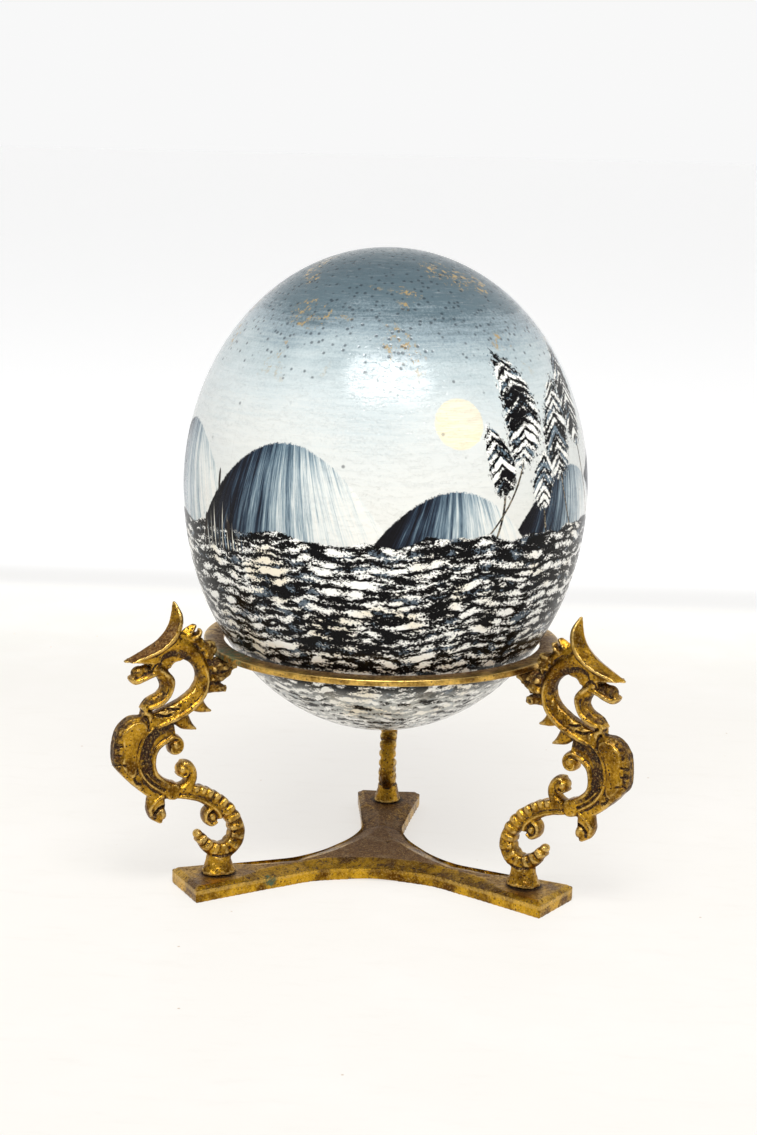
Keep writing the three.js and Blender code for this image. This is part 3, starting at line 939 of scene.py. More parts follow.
def make_ring():
    """The flat ring, cast a little uneven, with softly rounded edges."""
    low, high = (Vector(corner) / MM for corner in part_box("ring"))
    outer = high.x
    section = ring_section(outer - RING_WIDTH, outer, low.z, high.z)
    sides = len(section)
    turn = np.arange(RING_SEGMENTS) * 2 * math.pi / RING_SEGMENTS
    verts = np.stack(
        [np.outer(np.cos(turn), section[:, 0]), np.outer(np.sin(turn), section[:, 0]),
         np.tile(section[:, 1], (RING_SEGMENTS, 1))],
        axis=2,
    ).reshape(-1, 3)
    faces = []
    for i in range(RING_SEGMENTS):
        after = (i + 1) % RING_SEGMENTS
        for k in range(sides):
            up = (k + 1) % sides
            faces.append((i * sides + k, after * sides + k, after * sides + up, i * sides + up))
    mesh = plain_mesh("ring_band", verts, faces)
    uneven = 0.06 * grain(verts, 9, 3) + 0.03 * grain(verts, 2.4, 4)
    write_points(mesh, verts + read_normals(mesh) * uneven[:, None])
    bearing = np.degrees(np.arctan2(verts[:, 0], -verts[:, 1]))
    store(mesh, "verdigris", 0.95 * (1 - ramp_up(np.abs(bearing - RING_GREEN_BEARING), 5, 17)))
    store(mesh, "wear", 0.7 * ramp_up(np.abs(np.hypot(verts[:, 0], verts[:, 1]) - outer + 0.3), 0.5, 0.1))
    material = brass_material(
        "ring brass", up_patina=0.75, relief=0.08, Bright=shade(228, 184, 92), Brown=shade(172, 142, 110)
    )
    finish_piece("ring_band", mesh, material, "aged_brass", "ring")


# ------------------------------------------------------------------ base plate

# One concave side of the star: [distance out from the axis, distance along the side].
SIDE = [(15.2, 0), (15.7, 9), (18.7, 19), (24.6, 27.6), (31.8, 37.5), (42.7, 51.8)]
VERDIGRIS_SPOT = (-31.5, -26.6, 2.8)
RUST_SPOT = (-29.5, -28.1, 2.4)
HUB_PIT = (3.2, 6.9)


def star_outline():
    """The star's edge, one concave side after the other."""
    path = smooth_curve([(d, -s) for d, s in reversed(SIDE[1:])] + SIDE, 60)
    sides = []
    for angle in (30, 150, 270):
        c, s = math.cos(math.radians(angle)), math.sin(math.radians(angle))
        sides.append(path @ np.array([[c, s], [-s, c]]))
    outline = []
    for i, points in enumerate(sides):
        after = sides[(i + 1) % 3]
        outline += list(points[2:-2])
        for before, corner, beyond in ((points[-3], points[-1], after[0]), (points[-1], after[0], after[2])):
            outline += round_corner(before, corner, beyond)
    return outline


def round_corner(before, corner, beyond):
    """The corner itself where it is sharp, or a small arc across it."""
    if corner[1] < SHARP_CORNER_Y:
        return [corner]
    start = corner + unit(before - corner) * CORNER_ROUND
    end = corner + unit(beyond - corner) * CORNER_ROUND
    share = np.linspace(0, 1, 7)[:, None]
    return list((1 - share) ** 2 * start + 2 * share * (1 - share) * corner + share**2 * end)


def star_plate(outline):
    """The plain star, thickened upwards from the floor and evenly meshed."""
    flat = bpy.data.meshes.new("base_star")
    flat.from_pydata([(px, py, 0) for px, py in outline], [], [tuple(range(len(outline)))])
    star = bpy.data.objects.new("base_star", flat)
    scene.collection.objects.link(star)
    thicken = star.modifiers.new("thickness", "SOLIDIFY")
    thicken.thickness = BASE_THICK
    thicken.offset = 1
    return skinned(star, BASE_VOXEL)


def distance_inside(points, outline):
    """How far each point stands inside the outline."""
    loop = np.array(outline)
    inside = np.full(len(points), 1e9)
    for a, b in zip(loop, np.roll(loop, -1, axis=0)):
        run = b - a
        share = np.clip(((points[:, :2] - a) @ run) / max(run @ run, 1e-9), 0, 1)
        inside = np.minimum(inside, np.hypot(*(points[:, :2] - a - share[:, None] * run).T))
    return inside


def make_base():
    """The star plate: sloping upper edges, a low mound at the hub and a slightly hollow underside."""
    outline = star_outline()
    mesh = star_plate(outline)
    points = read_points(mesh)
    points[:, 2] -= points[:, 2].min()
    inside = distance_inside(points, outline)
    radius = np.hypot(points[:, 0], points[:, 1])
    on_top = ramp_up(points[:, 2], BASE_THICK - 0.9, BASE_THICK - 0.1)
    hub = HUB_RISE * np.clip(1 - (radius / HUB_R) ** 4, 0, 1)
    dip = 0.16 * np.exp(-((radius - GROOVE_R) ** 2))
    # The upper edges slope: widely round the hub and only a little at the ends of the arms.
    at_hub = ramp_up(radius, *SLOPE_GROWS_R)
    slope_width = ARM_SLOPE + (HUB_SLOPE - ARM_SLOPE) * at_hub
    slope = (1.1 + 0.9 * at_hub) * np.clip(1 - inside / slope_width, 0, 1)
    wave = 0.09 * grain(points, 7, 11) + 0.05 * grain(points, 2.2, 12)
    points[:, 2] += on_top * (hub - dip + wave - slope * (1 + 0.1 * grain(points, 5, 13)))
    # The underside is hollow between the arms.
    off_arm = np.abs((np.degrees(np.arctan2(points[:, 1], points[:, 0])) - 30) % 120 - 60)
    between = ramp_up(off_arm, 18, 58)
    underside = 1 - ramp_up(points[:, 2], 0.3, 2.2)
    points[:, 2] += underside * ARCH_RISE * between * ramp_up(inside, 6, 0) * (radius > 12)
    pit = np.exp(-((points[:, 0] - HUB_PIT[0]) ** 2 + (points[:, 1] - HUB_PIT[1]) ** 2) / 0.5)
    points[:, 2] -= on_top * pit * 0.5
    _, high = (Vector(corner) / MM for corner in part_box("base"))
    points[:, 2] = np.minimum(points[:, 2], high.z + 0.8)
    points = soften(points, mesh_edges(mesh), 2)
    write_points(mesh, points)
    for layer, values in plate_layers(points, inside, radius, on_top, slope_width, pit).items():
        store(mesh, layer, values)
    material = brass_material("base brass", up_patina=0.0, relief=0.14, Bright=shade(210, 162, 40))
    finish_piece("base_plate", mesh, material, "aged_brass", "base")


def plate_layers(points, inside, radius, on_top, slope_width, pit):
    """What the plate's finish reads: worn edges, brown patina, dirt and rust, a spot of verdigris, and a
    painted highlight at the front and painted shade at the back.
    """
    rim = ramp_up(np.abs(inside - 0.1), 0.6, 0.0) * ramp_up(points[:, 2], 1.8, 2.8)
    shoulder = ramp_up(np.abs(inside - slope_width), 0.6, 0.0) * on_top
    # Edge wear, made strongest at the front: real wear with a painted highlight where the softboxes light the
    # front.
    front = 1 - ramp_up(points[:, 1], -24, -6)
    wear = np.clip((0.55 * rim + 0.35 * shoulder) * (0.4 + 0.6 * front), 0, 1)
    bevel = on_top * ramp_up(slope_width + 0.2 - inside, 0, 0.6)
    inward = ramp_up(radius, 52, 20)
    # The flats brown more towards the back and the bevel stays bright only at the front: patina with painted
    # shade at the back and a painted highlight at the front.
    backward = ramp_up(points[:, 1], -12, 14)
    flat_patina = np.clip(0.42 + 0.25 * inward + 0.25 * backward, 0, 1)
    patina = on_top * flat_patina * (1 - bevel * (1 - 0.75 * backward)) + 0.04 * bevel
    # Darker round each foot.
    darker_round_feet = np.zeros(len(points))
    for _, angle, *_ in LEGS:
        a = math.radians(angle)
        away = np.hypot(points[:, 0] - FOOT_R * math.cos(a), points[:, 1] - FOOT_R * math.sin(a))
        darker_round_feet = np.maximum(darker_round_feet, on_top * (1 - ramp_up(away, 4.4, 7.0)))
    speckled = bevel * ramp_up(grain(points, 0.6, 14) + 0.25 * grain(points, 2.6, 15), 0.1, 0.6)
    seam = on_top * ramp_up(np.abs(radius - GROOVE_R), 0.9, 0.2)
    rust = 1 - ramp_up(np.linalg.norm(points - RUST_SPOT, axis=1), 1.4, 3.4)
    grime_and_shade = np.maximum.reduce([0.75 * darker_round_feet, 0.8 * on_top * pit, 0.6 * speckled, 0.4 * seam, 0.6 * rust])
    verdigris = 1.2 * (1 - ramp_up(np.linalg.norm(points - VERDIGRIS_SPOT, axis=1), 1.0, 3.0))
    return {"wear": wear, "patina": patina, "grime_and_shade": grime_and_shade, "verdigris": verdigris}


# ------------------------------------------------------------------ dragon leg


# Each of these gives the closed shells of one form of the dragon. They overlap, and are fused later.


def head():
    """The crescent crest from the beak's tip to its own point, the upper beak under it and the cheek."""
    return [
        bar([(85.4, 74.4, 0.3, 0.7), (81.6, 75.3, 0.9, 2.9), (77.6, 76.9, 1.2, 3.9), (73.8, 78.9, 1.4, 4.3),
             (70.9, 81.6, 1.6, 4.1), (69.3, 84.6, 1.6, 3.8), (68.9, 87.8, 1.4, 2.9), (69.7, 91.6, 0.3, 0.5)],
            90, 4.0, 28, roof=1.3),
        slab([(84.0, 74.4), (81.2, 74.0), (78.0, 73.2), (76.6, 72.4), (74.9, 73.6), (73.9, 75.8),
              (71.4, 77.2), (68.0, 79.2), (69.2, 81.4), (70.6, 82.2), (74.4, 78.9), (79.0, 76.6)],
             2.95, 0.7),
        bar([(69.4, 80.5, 1.2, 2.8), (68.6, 83.4, 0.9, 1.6), (67.8, 86.6, 0.4, 0.5)], 20, 2.0),
        bar([(76.6, 73.2, 1.3, 2.9), (74.7, 71.5, 1.2, 2.9)], 10, 2.6),
    ]


def jaw():
    """The lower beak, turned up at its tip, and the lumps in the open mouth."""
    return [
        bar([(74.4, 71.0, 1.2, 2.8), (77.6, 69.9, 1.1, 2.8), (80.0, 68.9, 1.1, 2.7), (82.2, 68.4, 1.1, 2.4),
             (83.4, 69.6, 0.9, 2.0)], 40, 2.6),
        ball(81.0, 71.0, 2.3, 1.7, 2.1, tilt=-20),
        ball(79.0, 71.5, 1.5, 1.5, 1.7),
    ]


def throat():
    """The front curve of the neck under the jaw, with a raised band along it."""
    return [
        bar([(77, 73, 1.7, 2.2), (73.9, 70.6, 2.0, 2.2), (72.4, 67.6, 1.9, 2.2), (72.2, 65.2, 1.8, 2.2),
             (73.8, 62.6, 2.0, 2.2), (77.2, 60.8, 2.0, 2.3), (79.4, 58.8, 1.4, 2.3)], 60, 3.2),
        bar([(77.6, 72.3, 1.0, 2.9), (74.7, 71.2, 1.2, 3.0), (72.4, 69.4, 1.3, 3.0), (70.9, 67.4, 1.3, 3.0),
             (71.0, 65.4, 1.1, 2.9), (72.2, 62.8, 1.0, 2.9), (74.6, 60.9, 1.1, 2.9), (78.0, 59.9, 0.9, 2.8)],
            60, 2.6),
    ]


def neck():
    """The arched neck, the flat web under the head and the raised band along the neck's back."""
    return [
        bar([(76.5, 76.2, 2.0, 2.3), (72, 77.6, 2.9, 2.3), (67.4, 76.9, 2.9, 2.3), (63.4, 74.7, 2.6, 2.3),
             (60.9, 71.3, 2.3, 2.3), (60.3, 67.3, 2.3, 2.3), (62, 63, 2.5, 2.3), (65.8, 59.6, 2.8, 2.35),
             (70.6, 57.2, 2.9, 2.4), (75.6, 55.4, 2.6, 2.4), (80, 53.4, 2, 2.4)], 110, 3.4),
        slab([(77, 75.6), (70, 77.6), (65.4, 75.8), (67.4, 73.7), (70.0, 73.0), (71.4, 71.4), (74.4, 72.6)],
             1.8, 0.4),
        bar([(75.0, 76.8, 1.6, 2.9), (70.3, 78.9, 2.1, 3.0), (66.5, 78.0, 2.1, 3.05), (63.8, 75.8, 2.0, 3.1),
             (61.4, 72.6, 1.6, 3.05), (59.8, 69.2, 1.2, 3.0), (59.5, 66.0, 1.0, 3.0), (60.5, 62.6, 1.0, 3.0),
             (63.3, 59.4, 1.1, 3.0), (67.0, 57.1, 1.2, 3.05), (71.2, 55.3, 1.1, 3.0), (75.4, 53.8, 0.9, 2.9)],
            110, 2.4, 24),
    ]


def mane():
    """The locks behind the crest and the three that reach in under the ring, with lumps on them."""
    return [
        bar([(69.2, 81.0, 1.2, 1.9), (66.4, 80.4, 1.5, 2.1), (63.2, 79.2, 1.7, 2.1), (60.2, 76.9, 1.7, 2.2),
             (57.8, 73.4, 1.5, 2.2)], 40, 2.4),
        bar([(67.0, 80.2, 1.7, 1.9), (64.8, 82.0, 1.5, 1.9), (62.9, 84.0, 0.7, 1.1)], 24, 2.2, roof=1.2),
        bar([(64.2, 79.6, 1.2, 2.5), (62.0, 80.9, 1.0, 2.1), (61.3, 82.4, 0.5, 1.0)], 20, 2.2),
        bar([(61.8, 76.8, 1.6, 2.4), (59.4, 77.6, 1.3, 2.2), (56.9, 77.6, 0.8, 1.4)], 24, 2.2),
        ball(57.4, 76.0, 1.6, 1.3, 2.1, tilt=30),
        ball(59.6, 74.6, 1.7, 1.4, 2.5, tilt=40),
        bar([(61, 70.4, 2.4, 2.2), (56.6, 70.9, 2.4, 2.3), (52.4, 70.8, 2.0, 2.2), (49.4, 70.3, 1.0, 1.7)],
            36, 2.4),
        bar([(60.4, 67.4, 1.9, 2.3), (56.6, 67.4, 1.9, 2.4), (53.4, 68.1, 1.5, 2.0), (51.4, 69.2, 0.8, 1.4)],
            30, 2.4),
        bar([(60.4, 64.2, 1.9, 2.3), (57.0, 64.2, 1.7, 2.4), (54.4, 63.7, 1.3, 2.1), (52.8, 63.3, 0.9, 1.4)],
            30, 2.4),
        ball(57.3, 70.2, 1.5, 1.1, 2.9, tilt=15),
        ball(54.0, 70.3, 1.4, 0.9, 2.7, tilt=5),
        ball(57.6, 67.0, 1.3, 1.0, 2.9, tilt=-10),
        ball(55.8, 63.9, 1.3, 0.9, 2.6, tilt=10),
    ]


def fins():
    """Two broad triangular fins, thin at their edges."""
    shells = []
    for root, tip in (((63.6, 61.2), (57.5, 56.7)), ((68.2, 56.6), (62.2, 51.5))):
        root, tip = np.array(root), np.array(tip)
        rows = [(0.0, 3.1, 2.1), (0.45, 2.2, 1.9), (0.8, 0.95, 1.3), (1.0, 0.3, 0.5)]
        drop = np.array([0.5, -0.5])
        path = [(*(root + (tip - root) * t + drop * math.sin(math.pi * t)), w, d) for t, w, d in rows]
        shells.append(bar(path, 30, 2.0, roof=1.0))
        shells.append(bar(path, 30, 1.7))
    return shells


def shoulder():
    """The broad outer plate of the body, the raised face on it and the thin web behind."""
    return [
        slab([(78.6, 57.2), (83.6, 57.3), (86.9, 55), (88.6, 51.6), (88.9, 43.4), (87.3, 40.8), (80.8, 35.0),
              (79.8, 38.4), (81.2, 43), (80.4, 48.4), (77.8, 52.4)], 2.35, 0.9),
        slab([(83.2, 56.1), (86.0, 53.8), (86.8, 50.8), (86.2, 47.4), (86.9, 43.0), (83.2, 38.8),
              (82.2, 41.0), (82.3, 45.6), (81.2, 50.0), (79.1, 52.6), (79.3, 55.4), (80.6, 56.2)], 3.2, 0.6),
        slab([(70, 55.0), (79.6, 55.4), (82.2, 49), (83, 42), (83.6, 37.7), (76.4, 31.4), (71, 31.4),
              (70.4, 35), (74, 37.2), (76, 41), (75.4, 46), (72.4, 48.6), (69.6, 47.8)], 1.9, 0.4),
        bar([(79.6, 58.6, 1.2, 2.4), (77.8, 57.6, 1.3, 2.7), (78.6, 55.6, 1.0, 2.9)], 16, 2.4),
    ]


def scroll():
    """Two thin rims inside the outer plate, then the C-shaped scroll with a curl at its top."""
    return [
        bar([(76.4, 54.0, 0.6, 2.7), (79.3, 51.6, 0.6, 2.9), (81.2, 47.6, 0.6, 2.95), (81.6, 43.2, 0.6, 2.9),
             (80.3, 39.4, 0.65, 2.9), (77.4, 36.0, 0.7, 2.85), (72.6, 32.8, 0.8, 2.8)], 80, 2.6),
        bar([(80.2, 43.6, 0.4, 2.5), (78.9, 39.8, 0.5, 2.7), (76.3, 36.9, 0.55, 2.7), (72.6, 34.6, 0.6, 2.7)],
            50, 2.6),
        bar([(70.4, 49.6, 0.9, 2.5), (72.8, 49.0, 1.1, 2.7), (75.6, 46.8, 1.1, 2.75), (76.6, 43.0, 1.0, 2.75),
             (75.8, 39.2, 1.0, 2.7), (73.2, 36.4, 1.1, 2.7), (70.2, 34.8, 1.1, 2.7)], 80, 2.4),
        bar([(72.6, 49.2, 0.8, 2.7), (70.2, 50.2, 0.8, 2.8), (68.0, 49.0, 0.8, 2.8), (67.5, 46.9, 0.8, 2.8),
             (68.6, 45.3, 0.8, 2.7), (70.4, 45.4, 0.8, 2.6), (71.0, 46.9, 0.7, 2.5)], 60, 2.2),
        ball(69.3, 47.5, 2.4, 2.4, 3.15),
    ]


def knot():
    """The block where the body, the hook and the tail meet."""
    return [
        slab([(72.4, 35.8), (68.8, 35.4), (68.4, 32.6), (69.4, 30.7), (72.4, 31.2), (72.9, 33.4)],
             3.08, 0.9, 60),
    ]


def hook():
    """The hook that curls up beside the knot, round a ball."""
    return [
        bar([(69.4, 33.4, 1.6, 2.7), (66.6, 33.6, 1.8, 2.8), (64.4, 35.4, 1.7, 2.8), (63.9, 38.2, 1.6, 2.7),
             (65.2, 40.7, 1.4, 2.6), (67.2, 41.2, 1.1, 2.4)], 60, 2.4),
        ball(67.0, 39.6, 2.0, 2.1, 2.9),
        bar([(68.4, 38.2, 0.6, 2.4), (66.6, 37.4, 0.6, 2.8), (65.6, 38.8, 0.6, 2.9), (66.6, 40.2, 0.5, 2.8),
             (67.8, 39.7, 0.4, 2.7)], 40, 2.2),
    ]


def pendant():
    """The drop that hangs under the body, with a ridge along it and a lump at its side."""
    return [
        bar([(75, 33.6, 2.4, 2.0), (75.4, 29.6, 3.0, 2.2), (75.1, 26.4, 2.7, 2.0), (73.6, 23.2, 0.5, 0.7)],
            40, 2.4),
        bar([(73.4, 32.2, 0.9, 2.5), (75.8, 30.6, 0.9, 2.6), (77.4, 28.4, 0.9, 2.4), (77.0, 26.0, 0.8, 2.1)],
            40, 2.2),
        ball(73.6, 26.4, 1.5, 2.3, 2.5, tilt=-18),
    ]


TAIL = [(71.6, 33.4, 2.3, 2.35), (66.2, 32.6, 2.1, 2.35), (61, 31.1, 2.2, 2.35), (56.2, 28.3, 2.35, 2.35),
        (51.9, 24.3, 2.4, 2.35), (49.0, 19.8, 2.4, 2.35), (48.7, 15.6, 2.4, 2.35), (51, 12.5, 2.35, 2.35),
        (54.6, 11.7, 2.25, 2.3), (57.8, 13.4, 2.1, 2.1), (60, 15.8, 1.8, 1.9), (61.3, 17.6, 1.1, 1.4)]
# Each rib's middle and half length across the tail.
RIBS = [(67.4, 33.4, 1.2), (65.3, 33.3, 1.3), (63.0, 32.9, 1.35), (60.7, 32.1, 1.5), (58.5, 30.9, 1.7),
        (56.3, 29.3, 1.95), (54.0, 27.3, 2.2), (52.0, 25.0, 2.4), (50.4, 22.4, 2.5), (49.3, 19.5, 2.5),
        (49.1, 16.5, 2.5), (50.6, 13.9, 2.5), (53.2, 12.4, 2.4), (56.2, 12.9, 2.3), (58.6, 14.5, 2.1),
        (60.4, 16.5, 1.8)]
# Along a rib: the share of its half length, half width and half thickness.
RIB_ROWS = [(-0.95, 0.7, 1.5), (-0.8, 1.1, 2.45), (-0.3, 1.3, 2.85), (0.3, 1.34, 2.9), (0.8, 1.24, 2.6),
            (0.97, 0.8, 1.7)]
LAST_FULL_RIB = 13


def tail():
    """The tail's core, and a row of ribs that start narrow at the knot and grow to its full width."""
    shells = [bar(TAIL, 140, 2.4)]
    middles = np.array(RIBS)[:, :2]
    for number, (spot, step) in enumerate(zip(middles, unit(np.gradient(middles, axis=0)))):
        half = RIBS[number][2]
        out = np.array([step[1], -step[0]])
        slim = 0.9 if number > LAST_FULL_RIB else 1.0
        rows = [(*(spot + out * half * share), wide, thick * slim) for share, wide, thick in RIB_ROWS]
        shells.append(bar(rows, 14, 3.4, 16))
    shells.append(ball(61.6, 18.2, 1.5, 1.4, 1.9))
    return shells


def tail_cord():
    """The cord along the inside of the tail, and the small curl that springs from it, round a ball."""
    return [
        bar([(68.8, 31.4, 0.9, 2.7), (64.6, 30.6, 1.0, 2.75), (60.6, 29.2, 1.1, 2.75),
             (57.6, 27.1, 1.1, 2.75), (55.4, 24.9, 1.0, 2.6), (54.6, 22.6, 0.9, 2.4)], 60, 2.3),
        bar([(57.4, 26.6, 0.9, 2.5), (59.3, 24.8, 0.9, 2.5), (59.2, 22.4, 0.8, 2.4), (57.4, 21.0, 0.8, 2.3),
             (55.6, 21.8, 0.7, 2.2)], 50, 2.2),
        ball(57.2, 23.2, 1.8, 1.9, 2.1),
    ]


def foot():
    """A small bell that the tail grows out of."""
    profile = [(0.35, 5.4, 4.5), (1.1, 5.3, 4.4), (2.6, 4.5, 3.8), (4.6, 3.9, 3.4), (6.4, 3.6, 3.1)]
    return [
        bar([(FOOT_R, BASE_THICK + z, wide, thick) for z, wide, thick in profile], 24, 2.2, 28),
        bar([(FOOT_R + 0.1, BASE_THICK + 5.8, 3.0, 2.7), (FOOT_R, BASE_THICK + 8.2, 2.6, 2.4)], 8, 2.2),
    ]


# Bands of the leg's plane: a path, its half width, then how much dirt it holds and how hammered it is.
BANDS = [
    ([(75.4, 72.6), (74.4, 75.0), (71.4, 76.0), (68.4, 75.6), (65.9, 74.4)], 1.0, 0.85, 0.9),
    ([(65.0, 73.2), (62.4, 70.4), (61.6, 67.4)], 0.9, 0.55, 0.6),
    ([(62.6, 65.4), (64.6, 62.0), (67.8, 59.6), (71.6, 57.8), (75.0, 56.6)], 1.5, 0.12, 1.0),
    ([(75.2, 68.7), (73.7, 67.0), (73.5, 64.6), (75.3, 62.6), (79.0, 61.4)], 0.9, 0.6, 0.5),
    ([(70.6, 53.6), (75.2, 52.6), (78.4, 49.2), (79.4, 45.0), (78.6, 41.6)], 1.7, 0.9, 1.0),
    ([(77.6, 39.4), (75.4, 37.2), (72.6, 35.6)], 0.7, 0.6, 0.6),
    ([(79.8, 39.6), (77.2, 36.9), (73.4, 33.9)], 0.5, 0.8, 0.3),
    ([(80.2, 57.0), (84.0, 56.9), (87.0, 54.6), (88.2, 51.0), (88.6, 46.0), (88.2, 42.2)], 1.3, 0.6, 0.8),
    ([(78.4, 71.4), (81.0, 71.6), (83.4, 70.6)], 1.6, 0.55, 0.3),
    ([(58.6, 71.8), (56.0, 72.4), (53.0, 72.2)], 0.7, 0.8, 0.4),
    ([(58.4, 65.8), (56.0, 65.6), (53.6, 65.4)], 0.7, 0.8, 0.4),
    ([(58.6, 69.0), (56.0, 69.0), (53.0, 69.2)], 0.5, 0.8, 0.2),
    ([(66.6, 40.6), (65.2, 39.4), (65.6, 37.6)], 0.6, 0.5, 0.3),
    ([(72.8, 28.8), (74.6, 28.4), (76.0, 26.8), (76.0, 25.2)], 0.5, 0.95, 0.0),
    ([(57.4, 24.8), (56.2, 23.6), (56.6, 22.0)], 0.4, 0.7, 0.0),
]

# Cuts in the faces: a path, its half width and its depth.
CUTS = [
    ([(78.2, 59.2), (76.0, 57.9), (73.4, 57.0), (71.2, 57.3)], 0.35, 0.9),
    ([(73.6, 60.2), (71.4, 59.0), (68.8, 58.8)], 0.3, 0.8),
    ([(79.2, 57.4), (78.4, 55.4), (78.2, 53.2)], 0.3, 0.7),
    ([(77.6, 73.2), (79.2, 73.5), (81.0, 73.4)], 0.3, 0.8),
    ([(75.6, 73.6), (77.0, 72.4), (77.4, 71.2)], 0.28, 0.45),
    ([(88.8, 43.0), (87.4, 43.4), (85.8, 43.2)], 0.24, 0.55),
    ([(88.6, 49.0), (87.6, 48.8), (86.8, 49.0)], 0.3, 0.6),
    ([(88.9, 46.2), (88.0, 46.4), (87.2, 46.2)], 0.26, 0.5),
    ([(83.0, 39.0), (82.2, 37.4), (80.8, 36.6)], 0.35, 0.6),
    ([(72.9, 28.7), (74.7, 28.3), (76.0, 26.8)], 0.4, 1.2),
    ([(68.2, 36.0), (67.9, 33.2), (68.6, 30.6)], 0.24, 0.18),
    ([(73.0, 35.6), (73.3, 33.2), (72.6, 31.2)], 0.24, 0.15),
    ([(50.6, 11.0), (54.4, 10.9), (58.2, 11.4)], 0.35, 0.5),
]


def dragon_layers(points, normals, edges, dirt, cut, clustered):
    """Grime and painted shade for the hollows and wear for the ridges, told apart by smoothed copies of the
    surface.
    """
    flat = points
    for _ in range(14):
        flat = neighbour_mean(flat, edges, len(flat))
    close = np.einsum("ij,ij->i", points - flat, normals)
    for _ in range(46):
        flat = neighbour_mean(flat, edges, len(flat))
    broad = np.einsum("ij,ij->i", points - flat, normals)
    # The hollows and the cut grooves are darkened: painted shade, as well as the dark patina they hold.
    hollow_shade = np.maximum(ramp_up(-close, 0.05, 0.22), ramp_up(-broad, 0.15, 0.7))
    foot_seam = 0.9 * ramp_up(points[:, 2], BASE_THICK + 0.9, BASE_THICK + 0.3)
    grime_and_shade = np.maximum.reduce([dirt * 0.9, hollow_shade, ramp_up(cut, 0.1, 0.4), foot_seam, 0.45 * clustered])
    ridge = np.maximum(ramp_up(close, 0.06, 0.24) * 0.7, ramp_up(broad, 0.25, 0.9) * 0.5)
    return np.clip(grime_and_shade, 0, 1), np.clip(ridge * (1 - dirt), 0, 1)


def casting():
    """One whole dragon in its own plane, with the layers that its finish reads."""
    parts = (head, jaw, throat, neck, mane, fins, shoulder, scroll, knot, hook, pendant, tail, tail_cord,
             foot)
    mesh = fused("dragon_leg", [shell for part in parts for shell in part()], LEG_VOXEL)
    edges = mesh_edges(mesh)
    points = soften(read_points(mesh), edges, 3)
    write_points(mesh, points)
    normals = read_normals(mesh)
    plane = points[:, [0, 2]]
    sideways = ramp_up(np.abs(normals[:, 1]), 0.35, 0.8)
    dirt = np.zeros(len(points))
    hammered = np.zeros(len(points))
    for path, half_width, how_dark, how_rough in BANDS:
        on_floor = near_path(plane, path, half_width) * ramp_up(np.abs(points[:, 1]), 3.0, 2.7)
        dirt = np.maximum(dirt, how_dark * on_floor)
        hammered = np.maximum(hammered, how_rough * on_floor)
    dirt = np.clip(dirt * (0.85 + 0.45 * grain(points, 0.8, 27) + 0.25 * grain(points, 2.1, 28)), 0, 1)
    cut = np.zeros(len(points))
    for path, half_width, deep in CUTS:
        groove = near_path(plane, path, half_width, 0.22) * sideways
        cut = np.maximum(cut, groove * deep)
    dents = 0.22 * grain(points, 1.1, 21) + 0.12 * grain(points, 0.55, 22)
    skin = 0.06 * grain(points, 1.8, 23) + 0.04 * grain(points, 0.8, 24)
    bell = 1 - ramp_up(points[:, 2], BASE_THICK + 5.6, BASE_THICK + 7.0)
    slanted = points[:, 0] + 0.35 * (76 - points[:, 2])
    clustered = ramp_up(slanted, 61.4, 59.0) * ramp_up(points[:, 2], 61, 63)
    rough = 0.4 * grain(points, 1.3, 25) + 0.22 * grain(points, 0.7, 26)
    move = hammered * sideways * dents + skin + clustered * rough + 0.4 * bell * rough
    points = points + normals * move[:, None]
    points[:, 1] -= np.sign(points[:, 1]) * cut
    points[:, 2] = np.maximum(points[:, 2], BASE_THICK + JOINT_GAP)
    write_points(mesh, points)
    normals = read_normals(mesh)
    return mesh, points, normals, *dragon_layers(points, normals, edges, dirt, cut, clustered)


def make_legs():
    mesh, points, normals, grime_and_shade, wear = casting()
    pivot_r, pivot_z = LEAN_PIVOT
    brass = brass_material("dragon brass", up_patina=0.22, relief=0.14, pitting=1.3)
    for name, angle, lean, crest_patina in LEGS:
        tip = math.radians(lean)
        r, z = points[:, 0] - pivot_r, points[:, 2] - pivot_z
        leaning = np.stack(
            [pivot_r + r * math.cos(tip) + z * math.sin(tip), points[:, 1],
             pivot_z - r * math.sin(tip) + z * math.cos(tip)],
            axis=1,
        )
        leaning[:, 2] = np.maximum(leaning[:, 2], BASE_THICK + JOINT_GAP)
        turn = np.array(Matrix.Rotation(math.radians(angle), 3, "Z"))
        leg = mesh.copy()
        leg.name = "dragon_" + name
        write_points(leg, leaning @ turn.T)
        crown = ramp_up(normals[:, 2] + 0.6 * normals[:, 0], 0.55, 0.9) * ramp_up(points[:, 2], 73.6, 75.5)
        crown *= ramp_up(points[:, 0], 66, 69)
        store(leg, "grime_and_shade", grime_and_shade)
        store(leg, "wear", wear)
        store(leg, "patina", crest_patina * crown)
        finish_piece("dragon_" + name, leg, brass, "cast_brass", "leg_" + name)


# ------------------------------------------------------------------ screws


def screw_steel():
    """Plain steel with turning marks and a little rust."""
    material, n, skin = new_material("screw steel")
    point = millimetres(n)
    rust = n.rise(n.noise(point, 0.8, 4, 0.6), 0.5, 0.68)
    scratches = n.noise(n.vector("MULTIPLY", point, (0.4, 6.0, 6.0)), 1.0, 3)
    colour = n.mix(rust, n.mix(scratches, shade(128, 126, 122), shade(168, 166, 160)), shade(104, 62, 36))
    n.feed(skin.inputs["Base Color"], colour)
    n.feed(skin.inputs["Roughness"], n.plus(0.32, n.times(rust, 0.4)))
    n.feed(skin.inputs["Metallic"], n.minus(1.0, n.times(rust, 0.8)))
    n.feed(skin.inputs["Normal"], n.bump(scratches, 0.04))
    return material


